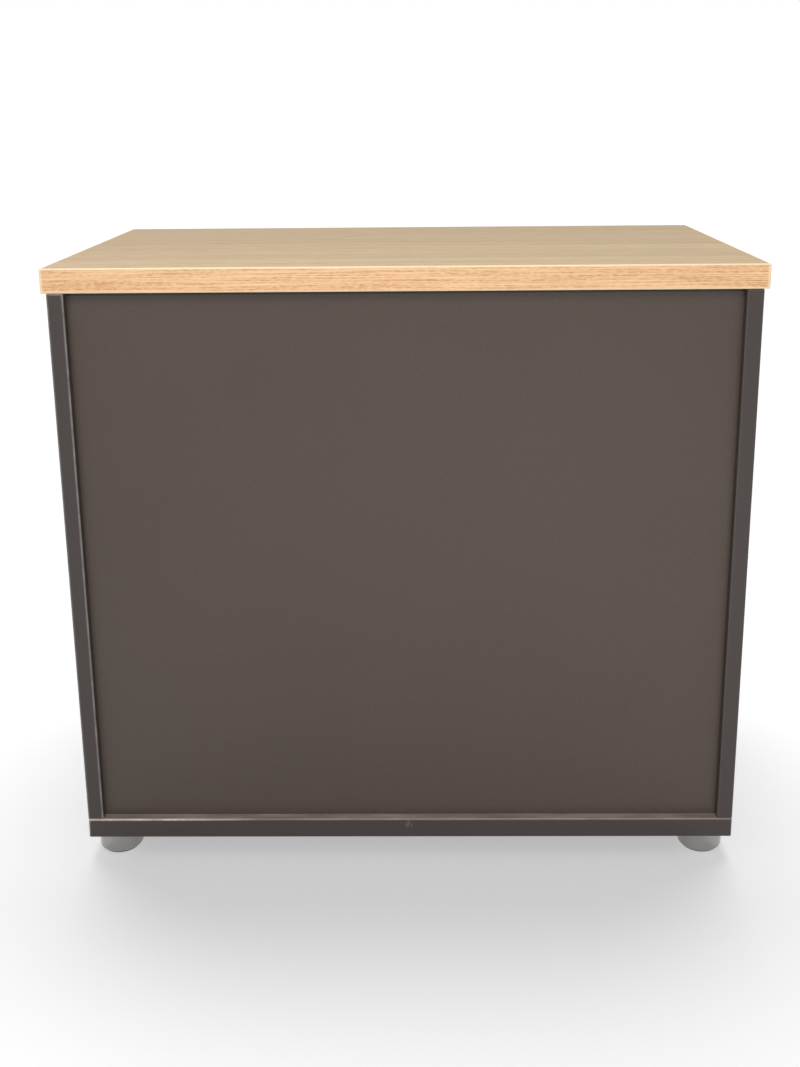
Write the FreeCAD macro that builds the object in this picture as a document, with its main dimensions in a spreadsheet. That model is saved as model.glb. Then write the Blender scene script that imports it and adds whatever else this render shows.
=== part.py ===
import FreeCAD, Part
import math
import os
import re

import Sketcher

# Office sideboard: a desk-height cupboard with two doors, an oak-decor top and a graphite carcass.
# Millimetres, +Z up. The doors face -Y and the plain back faces +Y. Left and right are as seen
# from the doors, so right is +X. The origin is on the floor, midway between back and handles.

# Driving dimensions, written to the sheet below. Every length of the model comes from these.
SIZES = {
    # carcass and top
    "carcass_width": 800,
    "overall_height": 740,
    "top_depth": 450,
    "top_thickness": 28,
    "top_side_overhang": 6,
    "top_front_overhang": 2,
    "band_thickness": 2,
    "band_radius": 1.6,
    "side_thickness": 19,
    "bottom_thickness": 25,
    "board_arris": 1.5,
    "back_thickness": 8,
    "back_recess": 12,
    "groove_depth": 7,
    "groove_clearance": 0.2,
    # shelf and its pins
    "shelf_thickness": 22,
    "shelf_arris": 1,
    "shelf_front_setback": 24,
    "shelf_side_clearance": 1,
    "shelf_back_clearance": 2,
    "pin_diameter": 5,
    "pin_shank": 9,
    "pin_head_diameter": 7,
    "pin_head_length": 9,
    "pin_hole_spacing": 32,
    "pin_hole_count": 7,
    "pin_front_inset": 72,
    "pin_back_inset": 88,
    # fittings between boards
    "fit_clearance": 0.1,
    "cam_diameter": 15,
    "cam_depth": 12.5,
    "cam_distance": 34,
    "cam_slot_width": 1.4,
    "cam_slot_length": 8,
    "cam_slot_depth": 2.5,
    "fitting_inset": 64,
    "bolt_diameter": 7,
    "bolt_thread_diameter": 5,
    "bolt_thread_length": 11,
    "bolt_cam_gap": 0.3,
    "dowel_offset": 32,
    "dowel_diameter": 8,
    "dowel_half_length": 15,
    "dowel_chamfer": 1,
    "dowel_end_gap": 1,
    # doors
    "door_thickness": 19,
    "door_gap": 3,
    "door_side_reveal": 1.5,
    "door_meeting_gap": 3,
    "door_top_gap": 3,
    "door_foot_gap": 2,
    "buffer_diameter": 8,
    "buffer_face_diameter": 5,
    "buffer_clearance": 0.3,
    "buffer_inset": 80,
    "buffer_spacing": 220,
    # hinges
    "hinge_end_distance": 100,
    "hinge_pivot_inset": 5,
    "hinge_pivot_depth": 6,
    "hinge_pin_diameter": 4,
    "hinge_pin_clearance": 0.05,
    "hinge_pin_stand": 0.6,
    "hinge_eye_diameter": 9,
    "hinge_eye_clearance": 0.7,
    "hinge_eye_height": 10,
    "hinge_eye_gap": 0.3,
    "hinge_arm_height": 18,
    "hinge_arm_thickness": 7,
    "hinge_arm_length": 62,
    "hinge_arm_elbow": 5,
    "hinge_nose_clearance": 0.4,
    "hinge_web_width": 5,
    "hinge_notch_margin": 2,
    "hinge_cup_diameter": 35,
    "hinge_cup_depth": 11.5,
    "hinge_cup_distance": 25,
    "hinge_cup_rim": 3,
    "hinge_cup_recess": 2,
    "hinge_cup_clearance": 0.15,
    "hinge_plate_thickness": 3,
    "hinge_plate_setback": 16,
    "hinge_plate_wing_width": 12,
    "hinge_plate_wing_reach": 22,
    "hinge_screw_setback": 37,
    "hinge_screw_spacing": 32,
    "hinge_screw_diameter": 5,
    "hinge_screw_length": 12,
    "hinge_screw_head_diameter": 8,
    "hinge_screw_head_height": 2,
    # handles
    "handle_reach": 32,
    "handle_bar_diameter": 10,
    "handle_spacing": 128,
    "handle_bend": 14,
    "handle_edge_distance": 40,
    "handle_height": 500,
    "handle_screw_diameter": 4,
    "handle_screw_grip": 8,
    "handle_screw_head_diameter": 8,
    "handle_screw_head_height": 2.4,
    # lock in the right door
    "lock_edge_distance": 25,
    "lock_top_distance": 105,
    "lock_barrel_diameter": 18,
    "lock_collar_diameter": 23,
    "lock_collar_height": 2,
    "lock_plug_diameter": 12,
    "lock_plug_clearance": 0.1,
    "lock_plug_neck": 8,
    "lock_rear_stand": 0.5,
    "lock_cam_gap": 0.3,
    "lock_cam_thickness": 2.4,
    "lock_cam_width": 14,
    "lock_cam_reach": 40,
    "lock_key_width": 1.6,
    "lock_key_length": 8,
    "lock_key_depth": 9,
    # slide bolt on the left door
    "latch_edge_distance": 20,
    "latch_width": 20,
    "latch_depth": 12,
    "latch_height": 46,
    "latch_drop": 8,
    "latch_axis_offset": 6,
    "latch_rod_diameter": 8,
    "latch_rod_clearance": 0.15,
    "latch_rod_rest": 1,
    "latch_rod_tail": 4,
    "latch_rod_chamfer": 1.2,
    "latch_travel": 12,
    "latch_knob_diameter": 5,
    "latch_knob_reach": 6,
    "latch_knob_clearance": 0.4,
    "latch_bush_bore": 9,
    "latch_bush_wall": 1,
    "latch_bush_length": 12,
    "latch_bush_flange": 2,
    "latch_bush_flange_height": 1,
    # levelling feet
    "foot_height": 27,
    "foot_diameter": 54,
    "foot_inset": 32,
    "foot_lower_radius": 3,
    "foot_upper_radius": 1,
    "foot_top_gap": 0.4,
    "foot_socket_floor": 6,
    "glide_thickness": 2,
    "glide_margin": 3.5,
    "spindle_diameter": 10,
    "spindle_clearance": 0.1,
    "spindle_chamfer": 1,
    "spindle_seat_gap": 0.2,
    "socket_width": 6,
    "socket_depth": 5,
    "insert_wall": 1.5,
    "insert_length": 18,
    "insert_flange_diameter": 24,
    "insert_flange_height": 1.5,
    "spindle_top_gap": 2,
    "cap_diameter": 18,
    "cap_height": 1.5,
    "cap_plug_length": 3,
    # how far a cut runs past the face that it opens
    "overrun": 2,
}

# Places and sizes that follow from the driving dimensions, as formulas in their names.
PLACES = {
    "top_width": "carcass_width + 2 * top_side_overhang",
    "total_depth": "top_depth - top_front_overhang + handle_reach",
    "back_y": "total_depth / 2",
    "top_front_y": "back_y - top_depth",
    "door_front_y": "top_front_y + top_front_overhang",
    "door_rear_y": "door_front_y + door_thickness",
    "side_front_y": "door_rear_y + door_gap",
    "side_x": "carcass_width / 2",
    "inner_x": "side_x - side_thickness",
    "bottom_top_z": "foot_height + bottom_thickness",
    "top_under_z": "overall_height - top_thickness",
    "back_rear_y": "back_y - back_recess",
    "back_front_y": "back_rear_y - back_thickness",
    "back_reach": "groove_depth - groove_clearance",
    "door_low_z": "foot_height + door_foot_gap",
    "door_high_z": "top_under_z - door_top_gap",
    "door_inner_x": "door_meeting_gap / 2",
    "door_outer_x": "side_x - door_side_reveal",
    "pin_front_y": "side_front_y + pin_front_inset",
    "pin_back_y": "back_y - pin_back_inset",
    "shelf_low_z": "(bottom_top_z + top_under_z - shelf_thickness) / 2",
    "pin_z": "shelf_low_z - pin_head_diameter / 2",
    "fitting_front_y": "side_front_y + fitting_inset",
    "fitting_back_y": "back_y - fitting_inset",
    "dowel_front_y": "fitting_front_y + dowel_offset",
    "dowel_back_y": "fitting_back_y - dowel_offset",
    "edge_x": "side_x - side_thickness / 2",
    "hinge_upper_z": "door_high_z - hinge_end_distance",
    "hinge_lower_z": "door_low_z + hinge_end_distance",
    "pivot_x": "door_outer_x - hinge_pivot_inset",
    "pivot_y": "door_rear_y - hinge_pivot_depth",
    "cup_x": "pivot_x - hinge_cup_distance",
    "arm_wall_x": "inner_x - hinge_plate_thickness",
    "arm_face_x": "arm_wall_x - hinge_arm_thickness",
    "arm_tail_y": "side_front_y + hinge_arm_length",
    "nose_rear_y": "side_front_y - hinge_nose_clearance",
    "nose_front_y": "door_rear_y + hinge_nose_clearance",
    "plate_screw_y": "side_front_y + hinge_screw_setback",
    "handle_x": "door_inner_x + handle_edge_distance",
    "handle_low_z": "handle_height - handle_spacing / 2",
    "handle_high_z": "handle_height + handle_spacing / 2",
    "lock_x": "door_inner_x + lock_edge_distance",
    "lock_z": "door_high_z - lock_top_distance",
    "lock_length": "door_thickness + lock_rear_stand",
    "latch_x": "door_inner_x + latch_edge_distance",
    "latch_axis_y": "door_rear_y + latch_axis_offset",
    "latch_rear_y": "door_rear_y + latch_depth",
    "latch_high_z": "door_high_z - latch_drop",
    "latch_low_z": "latch_high_z - latch_height",
    "latch_rod_top_z": "door_high_z - latch_rod_rest",
    "latch_knob_z": "latch_low_z + (latch_height - latch_travel) / 2",
    "latch_bush_diameter": "latch_bush_bore + 2 * latch_bush_wall",
    "foot_x": "side_x - foot_inset",
    "foot_front_y": "side_front_y + foot_inset",
    "foot_back_y": "back_y - foot_inset",
    "foot_top_z": "foot_height - insert_flange_height - foot_top_gap",
    "insert_diameter": "spindle_diameter + 2 * spindle_clearance + 2 * insert_wall",
    "insert_hole": "insert_diameter + 2 * fit_clearance",
    "spindle_top_z": "foot_height + insert_length - spindle_top_gap",
}

# Corners of a regular hexagon, as shares of the distance from its middle to a corner.
HEXAGON_SHARES = [(1, 0), (0.5, 0.866), (-0.5, 0.866), (-1, 0), (-0.5, -0.866), (0.5, -0.866)]
# Two places count as one when they are closer than this share of the overrun.
SAME_PLACE_SHARE = 0.001

doc = FreeCAD.newDocument("Sideboard")
sheet = doc.addObject("Spreadsheet::Sheet", "Sizes")
for row, (alias, number) in enumerate(SIZES.items(), start=1):
    sheet.set(f"A{row}", alias)
    sheet.set(f"B{row}", str(number))
    sheet.setAlias(f"B{row}", alias)
doc.recompute()

nodes = {}


def formula(text):
    """A formula in plain names, rewritten for the document: sizes become cells, places their formulas."""
    def cell(match):
        word = match.group(0)
        if word in SIZES:
            return f"Sizes.{word}"
        return f"({formula(PLACES[word])})" if word in PLACES else word
    return re.sub(r"[a-z_]+", cell, text)


def value(text):
    return sheet.evalExpression(formula(text))


def keep(label, thing):
    """Name a finished sub-part. Its label is the name of its file."""
    thing.Label = label
    nodes[label] = thing
    return thing


def new_body(label):
    return doc.addObject("PartDesign::Body", label)


def new_sketch(body, role, lift="0"):
    """A sketch on one of the body's own origin planes, lifted along that plane's normal."""
    sketch = body.newObject("Sketcher::SketchObject", f"{body.Name}_sketch")
    origin_plane = next(f for f in body.Origin.OriginFeatures if f.Role == role)
    sketch.AttachmentSupport = (origin_plane, [""])
    sketch.MapMode = "FlatFace"
    sketch.setExpression("AttachmentOffset.Base.z", formula(lift))
    return sketch


def plan_sketch(body, height="0"):
    """Seen from above: X across, Y up the sketch."""
    return new_sketch(body, "XY_Plane", height)


def front_sketch(body, depth="0"):
    """Seen from the doors: X across, Z up the sketch. Its normal points forward, along -Y."""
    return new_sketch(body, "XZ_Plane", f"0 - ({depth})")


def side_sketch(body, across="0"):
    """Seen from the right: Y across, Z up the sketch. Its normal points along +X."""
    return new_sketch(body, "YZ_Plane", across)


def bind(sketch, constraint, text):
    index = sketch.addConstraint(constraint)
    sketch.setExpression(f"Constraints[{index}]", formula(text))


def fix_point(sketch, geometry, point, across, up):
    """Tie a point of the sketch to the sheet by its two distances from the sketch's origin."""
    bind(sketch, Sketcher.Constraint("DistanceX", -1, 1, geometry, point, value(across)), across)
    bind(sketch, Sketcher.Constraint("DistanceY", -1, 1, geometry, point, value(up)), up)


def draw_outline(sketch, corners):
    points = [FreeCAD.Vector(value(across), value(up), 0) for across, up in corners]
    first = sketch.GeometryCount
    count = len(points)
    for index in range(count):
        sketch.addGeometry(Part.LineSegment(points[index], points[(index + 1) % count]), False)
    for index in range(count):
        following = first + (index + 1) % count
        sketch.addConstraint(Sketcher.Constraint("Coincident", first + index, 2, following, 1))
    for index, (across, up) in enumerate(corners):
        fix_point(sketch, first + index, 1, across, up)
    return sketch


def draw_rectangle(sketch, left, right, low, high):
    return draw_outline(sketch, [(left, low), (right, low), (right, high), (left, high)])


def draw_circle(sketch, across, up, diameter):
    middle = FreeCAD.Vector(value(across), value(up), 0)
    circle = Part.Circle(middle, FreeCAD.Vector(0, 0, 1), value(diameter) / 2)
    index = sketch.addGeometry(circle, False)
    fix_point(sketch, index, 3, across, up)
    bind(sketch, Sketcher.Constraint("Diameter", index, value(diameter)), diameter)
    return sketch


def pad(body, sketch, length, symmetric=False):
    feature = body.newObject("PartDesign::Pad", f"{body.Name}_pad")
    feature.Profile = sketch
    feature.SideType = "Symmetric" if symmetric else "One side"
    feature.setExpression("Length", formula(length))
    doc.recompute()
    return feature


def pocket(body, sketch, depth, along_normal=False, symmetric=False):
    """Cut the sketch into the body, against the sketch's normal or along it."""
    doc.recompute()
    before = body.Shape.Volume
    feature = body.newObject("PartDesign::Pocket", f"{body.Name}_pocket")
    feature.Profile = sketch
    feature.Reversed = along_normal
    feature.SideType = "Symmetric" if symmetric else "One side"
    feature.setExpression("Length", formula(depth))
    doc.recompute()
    if not body.Shape.Volume < before:
        raise RuntimeError(f"{feature.Name} cuts nothing from {body.Name}")
    return feature


def round_edges(body, radius, chosen):
    """Round the edges of the body that the given test picks."""
    doc.recompute()
    base = body.Tip
    names = [f"Edge{n}" for n, edge in enumerate(base.Shape.Edges, start=1) if chosen(edge)]
    if not names:
        raise RuntimeError(f"no edge of {body.Name} to round")
    feature = body.newObject("PartDesign::Fillet", f"{body.Name}_fillet")
    feature.Base = (base, names)
    feature.setExpression("Radius", formula(radius))
    doc.recompute()


def every_edge(edge):
    return True


def lies_at(axis, place):
    """A test for edges that lie in the plane where this axis has this value."""
    target = value(place)
    near = SAME_PLACE_SHARE * value("overrun")
    return lambda edge: all(abs(getattr(v.Point, axis) - target) < near for v in edge.Vertexes)


def runs_along(axis):
    """A test for edges that run along this axis."""
    near = SAME_PLACE_SHARE * value("overrun")
    return lambda edge: abs(getattr(edge.Vertexes[0].Point - edge.Vertexes[-1].Point, axis)) > near


def turned(label, profile, across="0", depth="0", height="0", tilt=None):
    """A turned piece: a closed profile of (radius, length along the axis), spun, tilted and placed."""
    body = new_body(label)
    sketch = draw_outline(front_sketch(body), profile)
    spin = body.newObject("PartDesign::Revolution", f"{label}_spin")
    spin.Profile = sketch
    spin.ReferenceAxis = (sketch, ["V_Axis"])
    spin.Angle = 360
    if tilt is not None:
        body.Placement = FreeCAD.Placement(FreeCAD.Vector(), tilt)
    for axis, place in (("x", across), ("y", depth), ("z", height)):
        body.setExpression(f"Placement.Base.{axis}", formula(place))
    doc.recompute()
    return body


ALONG_X = FreeCAD.Rotation(FreeCAD.Vector(0, 1, 0), 90)
ALONG_BACK = FreeCAD.Rotation(FreeCAD.Vector(1, 0, 0), -90)
ALONG_FRONT = FreeCAD.Rotation(FreeCAD.Vector(1, 0, 0), 90)


def rod_profile(diameter, low, high):
    radius = f"({diameter}) / 2"
    return [("0", low), (radius, low), (radius, high), ("0", high)]


def mirrored(label, source):
    """The same piece on the other side of the middle plane."""
    twin = doc.addObject("Part::Mirroring", label)
    twin.Source = source
    twin.Normal = FreeCAD.Vector(1, 0, 0)
    return twin


def group(label, pieces):
    """Identical pieces that share one node, as separate solids."""
    bundle = doc.addObject("Part::Compound", label)
    bundle.Links = pieces
    return keep(label, bundle)


def board(label, left, right, front, back, low, high, arris):
    """A board with every edge lightly rounded."""
    body = new_body(label)
    sketch = draw_rectangle(plan_sketch(body, low), left, right, front, back)
    pad(body, sketch, f"({high}) - ({low})")
    round_edges(body, arris, every_edge)
    return body


SIDES = (1, -1)
FITTING_PLACES = ("fitting_front_y", "fitting_back_y")
DOWEL_PLACES = ("dowel_front_y", "dowel_back_y")
HINGE_LEVELS = {"upper": "hinge_upper_z", "lower": "hinge_lower_z"}


def join_holes(body, height, upward, inner_size, inner_depth, dowel_depth):
    """Holes at one face of a board for the cam bolts and dowels that stand in it, on both sides."""
    bolts = plan_sketch(body, height)
    dowels = plan_sketch(body, height)
    for side in SIDES:
        for place in FITTING_PLACES:
            draw_circle(bolts, f"{side} * edge_x", place, f"{inner_size} + 2 * fit_clearance")
        for place in DOWEL_PLACES:
            draw_circle(dowels, f"{side} * edge_x", place, "dowel_diameter + 2 * fit_clearance")
    pocket(body, bolts, inner_depth, along_normal=upward)
    pocket(body, dowels, dowel_depth, along_normal=upward)


def back_groove(body, height, upward):
    """The groove for the back panel in the face of the top or the bottom panel."""
    sketch = draw_rectangle(plan_sketch(body, height),
                            "0 - inner_x - back_reach", "inner_x + back_reach",
                            "back_front_y - groove_clearance", "back_rear_y + groove_clearance")
    pocket(body, sketch, "groove_depth", along_normal=upward)


def make_top():
    body = new_body("top_panel")
    core_x = "top_width / 2 - band_thickness"
    sketch = draw_rectangle(plan_sketch(body, "top_under_z"), f"0 - ({core_x})", core_x,
                            "top_front_y + band_thickness", "back_y - band_thickness")
    pad(body, sketch, "top_thickness")
    back_groove(body, "top_under_z", upward=True)
    join_holes(body, "top_under_z", True, "bolt_thread_diameter",
               "bolt_thread_length + dowel_end_gap", "dowel_half_length + dowel_end_gap")
    bush_hole = draw_circle(plan_sketch(body, "top_under_z"), "0 - latch_x", "latch_axis_y",
                            "latch_bush_diameter + 2 * fit_clearance")
    pocket(body, bush_hole, "latch_bush_length + fit_clearance", along_normal=True)
    keep("top_panel", body)


def make_long_band(label, inner_y, outer_y):
    """An edge band along the back or the front of the top, rounded at its outer face and its ends."""
    body = new_body(label)
    end_x = "top_width / 2"
    sketch = draw_rectangle(plan_sketch(body, "top_under_z"), f"0 - {end_x}", end_x, inner_y, outer_y)
    pad(body, sketch, "top_thickness")
    at_inner_face = lies_at("y", inner_y)
    at_outer_face = lies_at("y", outer_y)
    across = runs_along("x")
    round_edges(body, "band_radius",
                lambda edge: at_outer_face(edge) or not (at_inner_face(edge) or across(edge)))
    keep(label, body)


def make_short_band(label, side):
    """An edge band at one end of the top, between the two long ones."""
    body = new_body(label)
    end_x = f"{side} * top_width / 2"
    sketch = draw_rectangle(plan_sketch(body, "top_under_z"), f"{end_x} - {side} * band_thickness", end_x,
                            "top_front_y + band_thickness", "back_y - band_thickness")
    pad(body, sketch, "top_thickness")
    at_outer_face = lies_at("x", end_x)
    lengthwise = runs_along("y")
    round_edges(body, "band_radius", lambda edge: at_outer_face(edge) and lengthwise(edge))
    keep(label, body)


def make_top_bands():
    make_long_band("top_band_back", "back_y - band_thickness", "back_y")
    make_long_band("top_band_front", "top_front_y + band_thickness", "top_front_y")
    make_short_band("top_band_right", 1)
    make_short_band("top_band_left", -1)


def make_side_panels():
    body = board("side_panel_right", "inner_x", "side_x", "side_front_y", "back_y",
                 "bottom_top_z", "top_under_z", "board_arris")
    groove = draw_rectangle(side_sketch(body, "inner_x"),
                            "back_front_y - groove_clearance", "back_rear_y + groove_clearance",
                            "bottom_top_z - overrun", "top_under_z + overrun")
    pocket(body, groove, "groove_depth", along_normal=True)

    cams = side_sketch(body, "inner_x")
    for height in ("top_under_z - cam_distance", "bottom_top_z + cam_distance"):
        for place in FITTING_PLACES:
            draw_circle(cams, place, height, "cam_diameter + 2 * fit_clearance")
    pocket(body, cams, "cam_depth + fit_clearance", along_normal=True)

    for height, upward in (("top_under_z", False), ("bottom_top_z", True)):
        bolts = plan_sketch(body, height)
        dowels = plan_sketch(body, height)
        for place in FITTING_PLACES:
            draw_circle(bolts, "edge_x", place, "bolt_diameter + 2 * fit_clearance")
        for place in DOWEL_PLACES:
            draw_circle(dowels, "edge_x", place, "dowel_diameter + 2 * fit_clearance")
        pocket(body, bolts, "cam_distance", along_normal=upward)
        pocket(body, dowels, "dowel_half_length + dowel_end_gap", along_normal=upward)

    screws = side_sketch(body, "inner_x")
    for level in HINGE_LEVELS.values():
        for side in SIDES:
            draw_circle(screws, "plate_screw_y", f"{level} + {side} * hinge_screw_spacing / 2",
                        "hinge_screw_diameter + 2 * fit_clearance")
    pocket(body, screws, "hinge_screw_length + fit_clearance", along_normal=True)

    row_sketch = side_sketch(body, "inner_x")
    for place in ("pin_front_y", "pin_back_y"):
        draw_circle(row_sketch, place, "pin_z - pin_hole_spacing * (pin_hole_count - 1) / 2",
                    "pin_diameter + 2 * fit_clearance")
    first_holes = pocket(body, row_sketch, "pin_shank + fit_clearance", along_normal=True)
    rows = body.newObject("PartDesign::LinearPattern", "pin_rows")
    rows.Originals = [first_holes]
    rows.Direction = (row_sketch, ["V_Axis"])
    rows.setExpression("Length", formula("pin_hole_spacing * (pin_hole_count - 1)"))
    rows.setExpression("Occurrences", formula("pin_hole_count"))
    body.Tip = rows
    keep("side_panel_right", body)
    keep("side_panel_left", mirrored("side_panel_left", body))


def make_bottom():
    body = board("bottom_panel", "0 - side_x", "side_x", "side_front_y", "back_y",
                 "foot_height", "bottom_top_z", "board_arris")
    back_groove(body, "bottom_top_z", upward=False)
    join_holes(body, "bottom_top_z", False, "bolt_thread_diameter",
               "bolt_thread_length + dowel_end_gap", "dowel_half_length + dowel_end_gap")
    inserts = plan_sketch(body, "foot_height")
    for side in SIDES:
        for place in ("foot_front_y", "foot_back_y"):
            draw_circle(inserts, f"{side} * foot_x", place, "insert_hole")
    pocket(body, inserts, "bottom_thickness", along_normal=True)
    keep("bottom_panel", body)


def make_back_panel():
    body = new_body("back_panel")
    half_width = "inner_x + back_reach - groove_clearance"
    sketch = draw_rectangle(front_sketch(body, "back_rear_y"), f"0 - ({half_width})", half_width,
                            "bottom_top_z - back_reach", "top_under_z + back_reach")
    pad(body, sketch, "back_thickness")
    keep("back_panel", body)


def make_shelf():
    half_width = "inner_x - shelf_side_clearance"
    body = board("shelf", f"0 - ({half_width})", half_width, "side_front_y + shelf_front_setback",
                 "back_front_y - shelf_back_clearance", "shelf_low_z", "shelf_low_z + shelf_thickness",
                 "shelf_arris")
    keep("shelf", body)
    shank = "pin_diameter / 2"
    head = "pin_head_diameter / 2"
    profile = [("0", "0 - pin_head_length"), (head, "0 - pin_head_length"), (head, "0"),
               (shank, "0"), (shank, "pin_shank"), ("0", "pin_shank")]
    pins = []
    for place in ("pin_front_y", "pin_back_y"):
        pin = turned(f"{place}_pin", profile, "inner_x", place, "pin_z", ALONG_X)
        pins += [pin, mirrored(f"{place}_pin_left", pin)]
    group("shelf_pins", pins)


def make_board_fittings():
    """Cam housings in the side panels, and the bolts and dowels between the boards."""
    cams = new_body("cams_right")
    heights = ("top_under_z - cam_distance", "bottom_top_z + cam_distance")
    discs = side_sketch(cams, "inner_x")
    slots = side_sketch(cams, "inner_x")
    half = "cam_slot_length / 2"
    arm = "cam_slot_width / 2"
    for height in heights:
        for place in FITTING_PLACES:
            draw_circle(discs, place, height, "cam_diameter")
            cross = [(half, arm), (arm, arm), (arm, half)]
            corners = cross + [(f"0 - {across}", up) for across, up in reversed(cross)]
            corners += [(f"0 - {across}", f"0 - {up}") for across, up in cross]
            corners += [(across, f"0 - {up}") for across, up in reversed(cross)]
            draw_outline(slots, [(f"{place} + {across}", f"{height} + {up}") for across, up in corners])
    pad(cams, discs, "cam_depth")
    pocket(cams, slots, "cam_slot_depth", along_normal=True)
    group("cam_housings", [cams, mirrored("cams_left", cams)])

    bolt_reach = "cam_distance - cam_diameter / 2 - bolt_cam_gap"
    bolt_profile = [("0", f"0 - ({bolt_reach})"), ("bolt_diameter / 2", f"0 - ({bolt_reach})"),
                    ("bolt_diameter / 2", "0"), ("bolt_thread_diameter / 2", "0"),
                    ("bolt_thread_diameter / 2", "bolt_thread_length"), ("0", "bolt_thread_length")]
    dowel_radius = "dowel_diameter / 2"
    dowel_tip = "dowel_diameter / 2 - dowel_chamfer"
    dowel_end = "dowel_half_length - dowel_chamfer"
    dowel_profile = [("0", "0 - dowel_half_length"), (dowel_tip, "0 - dowel_half_length"),
                     (dowel_radius, f"0 - ({dowel_end})"), (dowel_radius, dowel_end),
                     (dowel_tip, "dowel_half_length"), ("0", "dowel_half_length")]
    upside_down = FreeCAD.Rotation(FreeCAD.Vector(1, 0, 0), 180)
    bolts = []
    dowels = []
    for level, tilt in (("top_under_z", None), ("bottom_top_z", upside_down)):
        for place in FITTING_PLACES:
            bolt = turned(f"{level}_{place}_bolt", bolt_profile, "edge_x", place, level, tilt)
            bolts += [bolt, mirrored(f"{level}_{place}_bolt_left", bolt)]
        for place in DOWEL_PLACES:
            dowel = turned(f"{level}_{place}_dowel", dowel_profile, "edge_x", place, level)
            dowels += [dowel, mirrored(f"{level}_{place}_dowel_left", dowel)]
    group("cam_bolts", bolts)
    group("dowels", dowels)


def make_door(label, side):
    """A door board with its cup bores and hinge notches, its handle holes and the hole for the lock."""
    body = board(label, f"{side} * door_inner_x", f"{side} * door_outer_x", "door_front_y", "door_rear_y",
                 "door_low_z", "door_high_z", "board_arris")
    cups = front_sketch(body, "door_rear_y")
    notches = front_sketch(body, "door_rear_y")
    for level in HINGE_LEVELS.values():
        draw_circle(cups, f"{side} * cup_x", level, "hinge_cup_diameter + 2 * hinge_cup_clearance")
        half = "hinge_arm_height / 2 + hinge_notch_margin"
        draw_rectangle(notches, f"{side} * cup_x", f"{side} * (door_outer_x + overrun)",
                       f"{level} - ({half})", f"{level} + {half}")
    pocket(body, cups, "hinge_cup_depth + hinge_cup_clearance", along_normal=True)
    notch_depth = "hinge_pivot_depth + hinge_eye_diameter / 2 + hinge_eye_clearance"
    pocket(body, notches, notch_depth, along_normal=True)

    screws = front_sketch(body, "door_rear_y")
    for height in ("handle_low_z", "handle_high_z"):
        draw_circle(screws, f"{side} * handle_x", height, "handle_screw_diameter + 2 * fit_clearance")
    pocket(body, screws, "door_thickness", along_normal=True)
    if label == "door_right":
        barrel = draw_circle(front_sketch(body, "door_rear_y"), "lock_x", "lock_z",
                             "lock_barrel_diameter + 2 * fit_clearance")
        pocket(body, barrel, "door_thickness", along_normal=True)
    keep(label, body)


def make_buffers():
    """Soft stops on the bottom panel's front edge, which the doors close on."""
    height = "door_gap - buffer_clearance"
    profile = [("0", "0"), ("buffer_diameter / 2", "0"), ("buffer_diameter / 2", f"({height}) / 2"),
               ("buffer_face_diameter / 2", height), ("0", height)]
    buffers = []
    for name, across in (("near", "buffer_inset"), ("far", "buffer_inset + buffer_spacing")):
        buffer = turned(f"buffer_{name}", profile, across, "side_front_y",
                        "foot_height + bottom_thickness / 2", ALONG_FRONT)
        buffers += [buffer, mirrored(f"buffer_{name}_left", buffer)]
    group("door_buffers", buffers)


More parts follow.
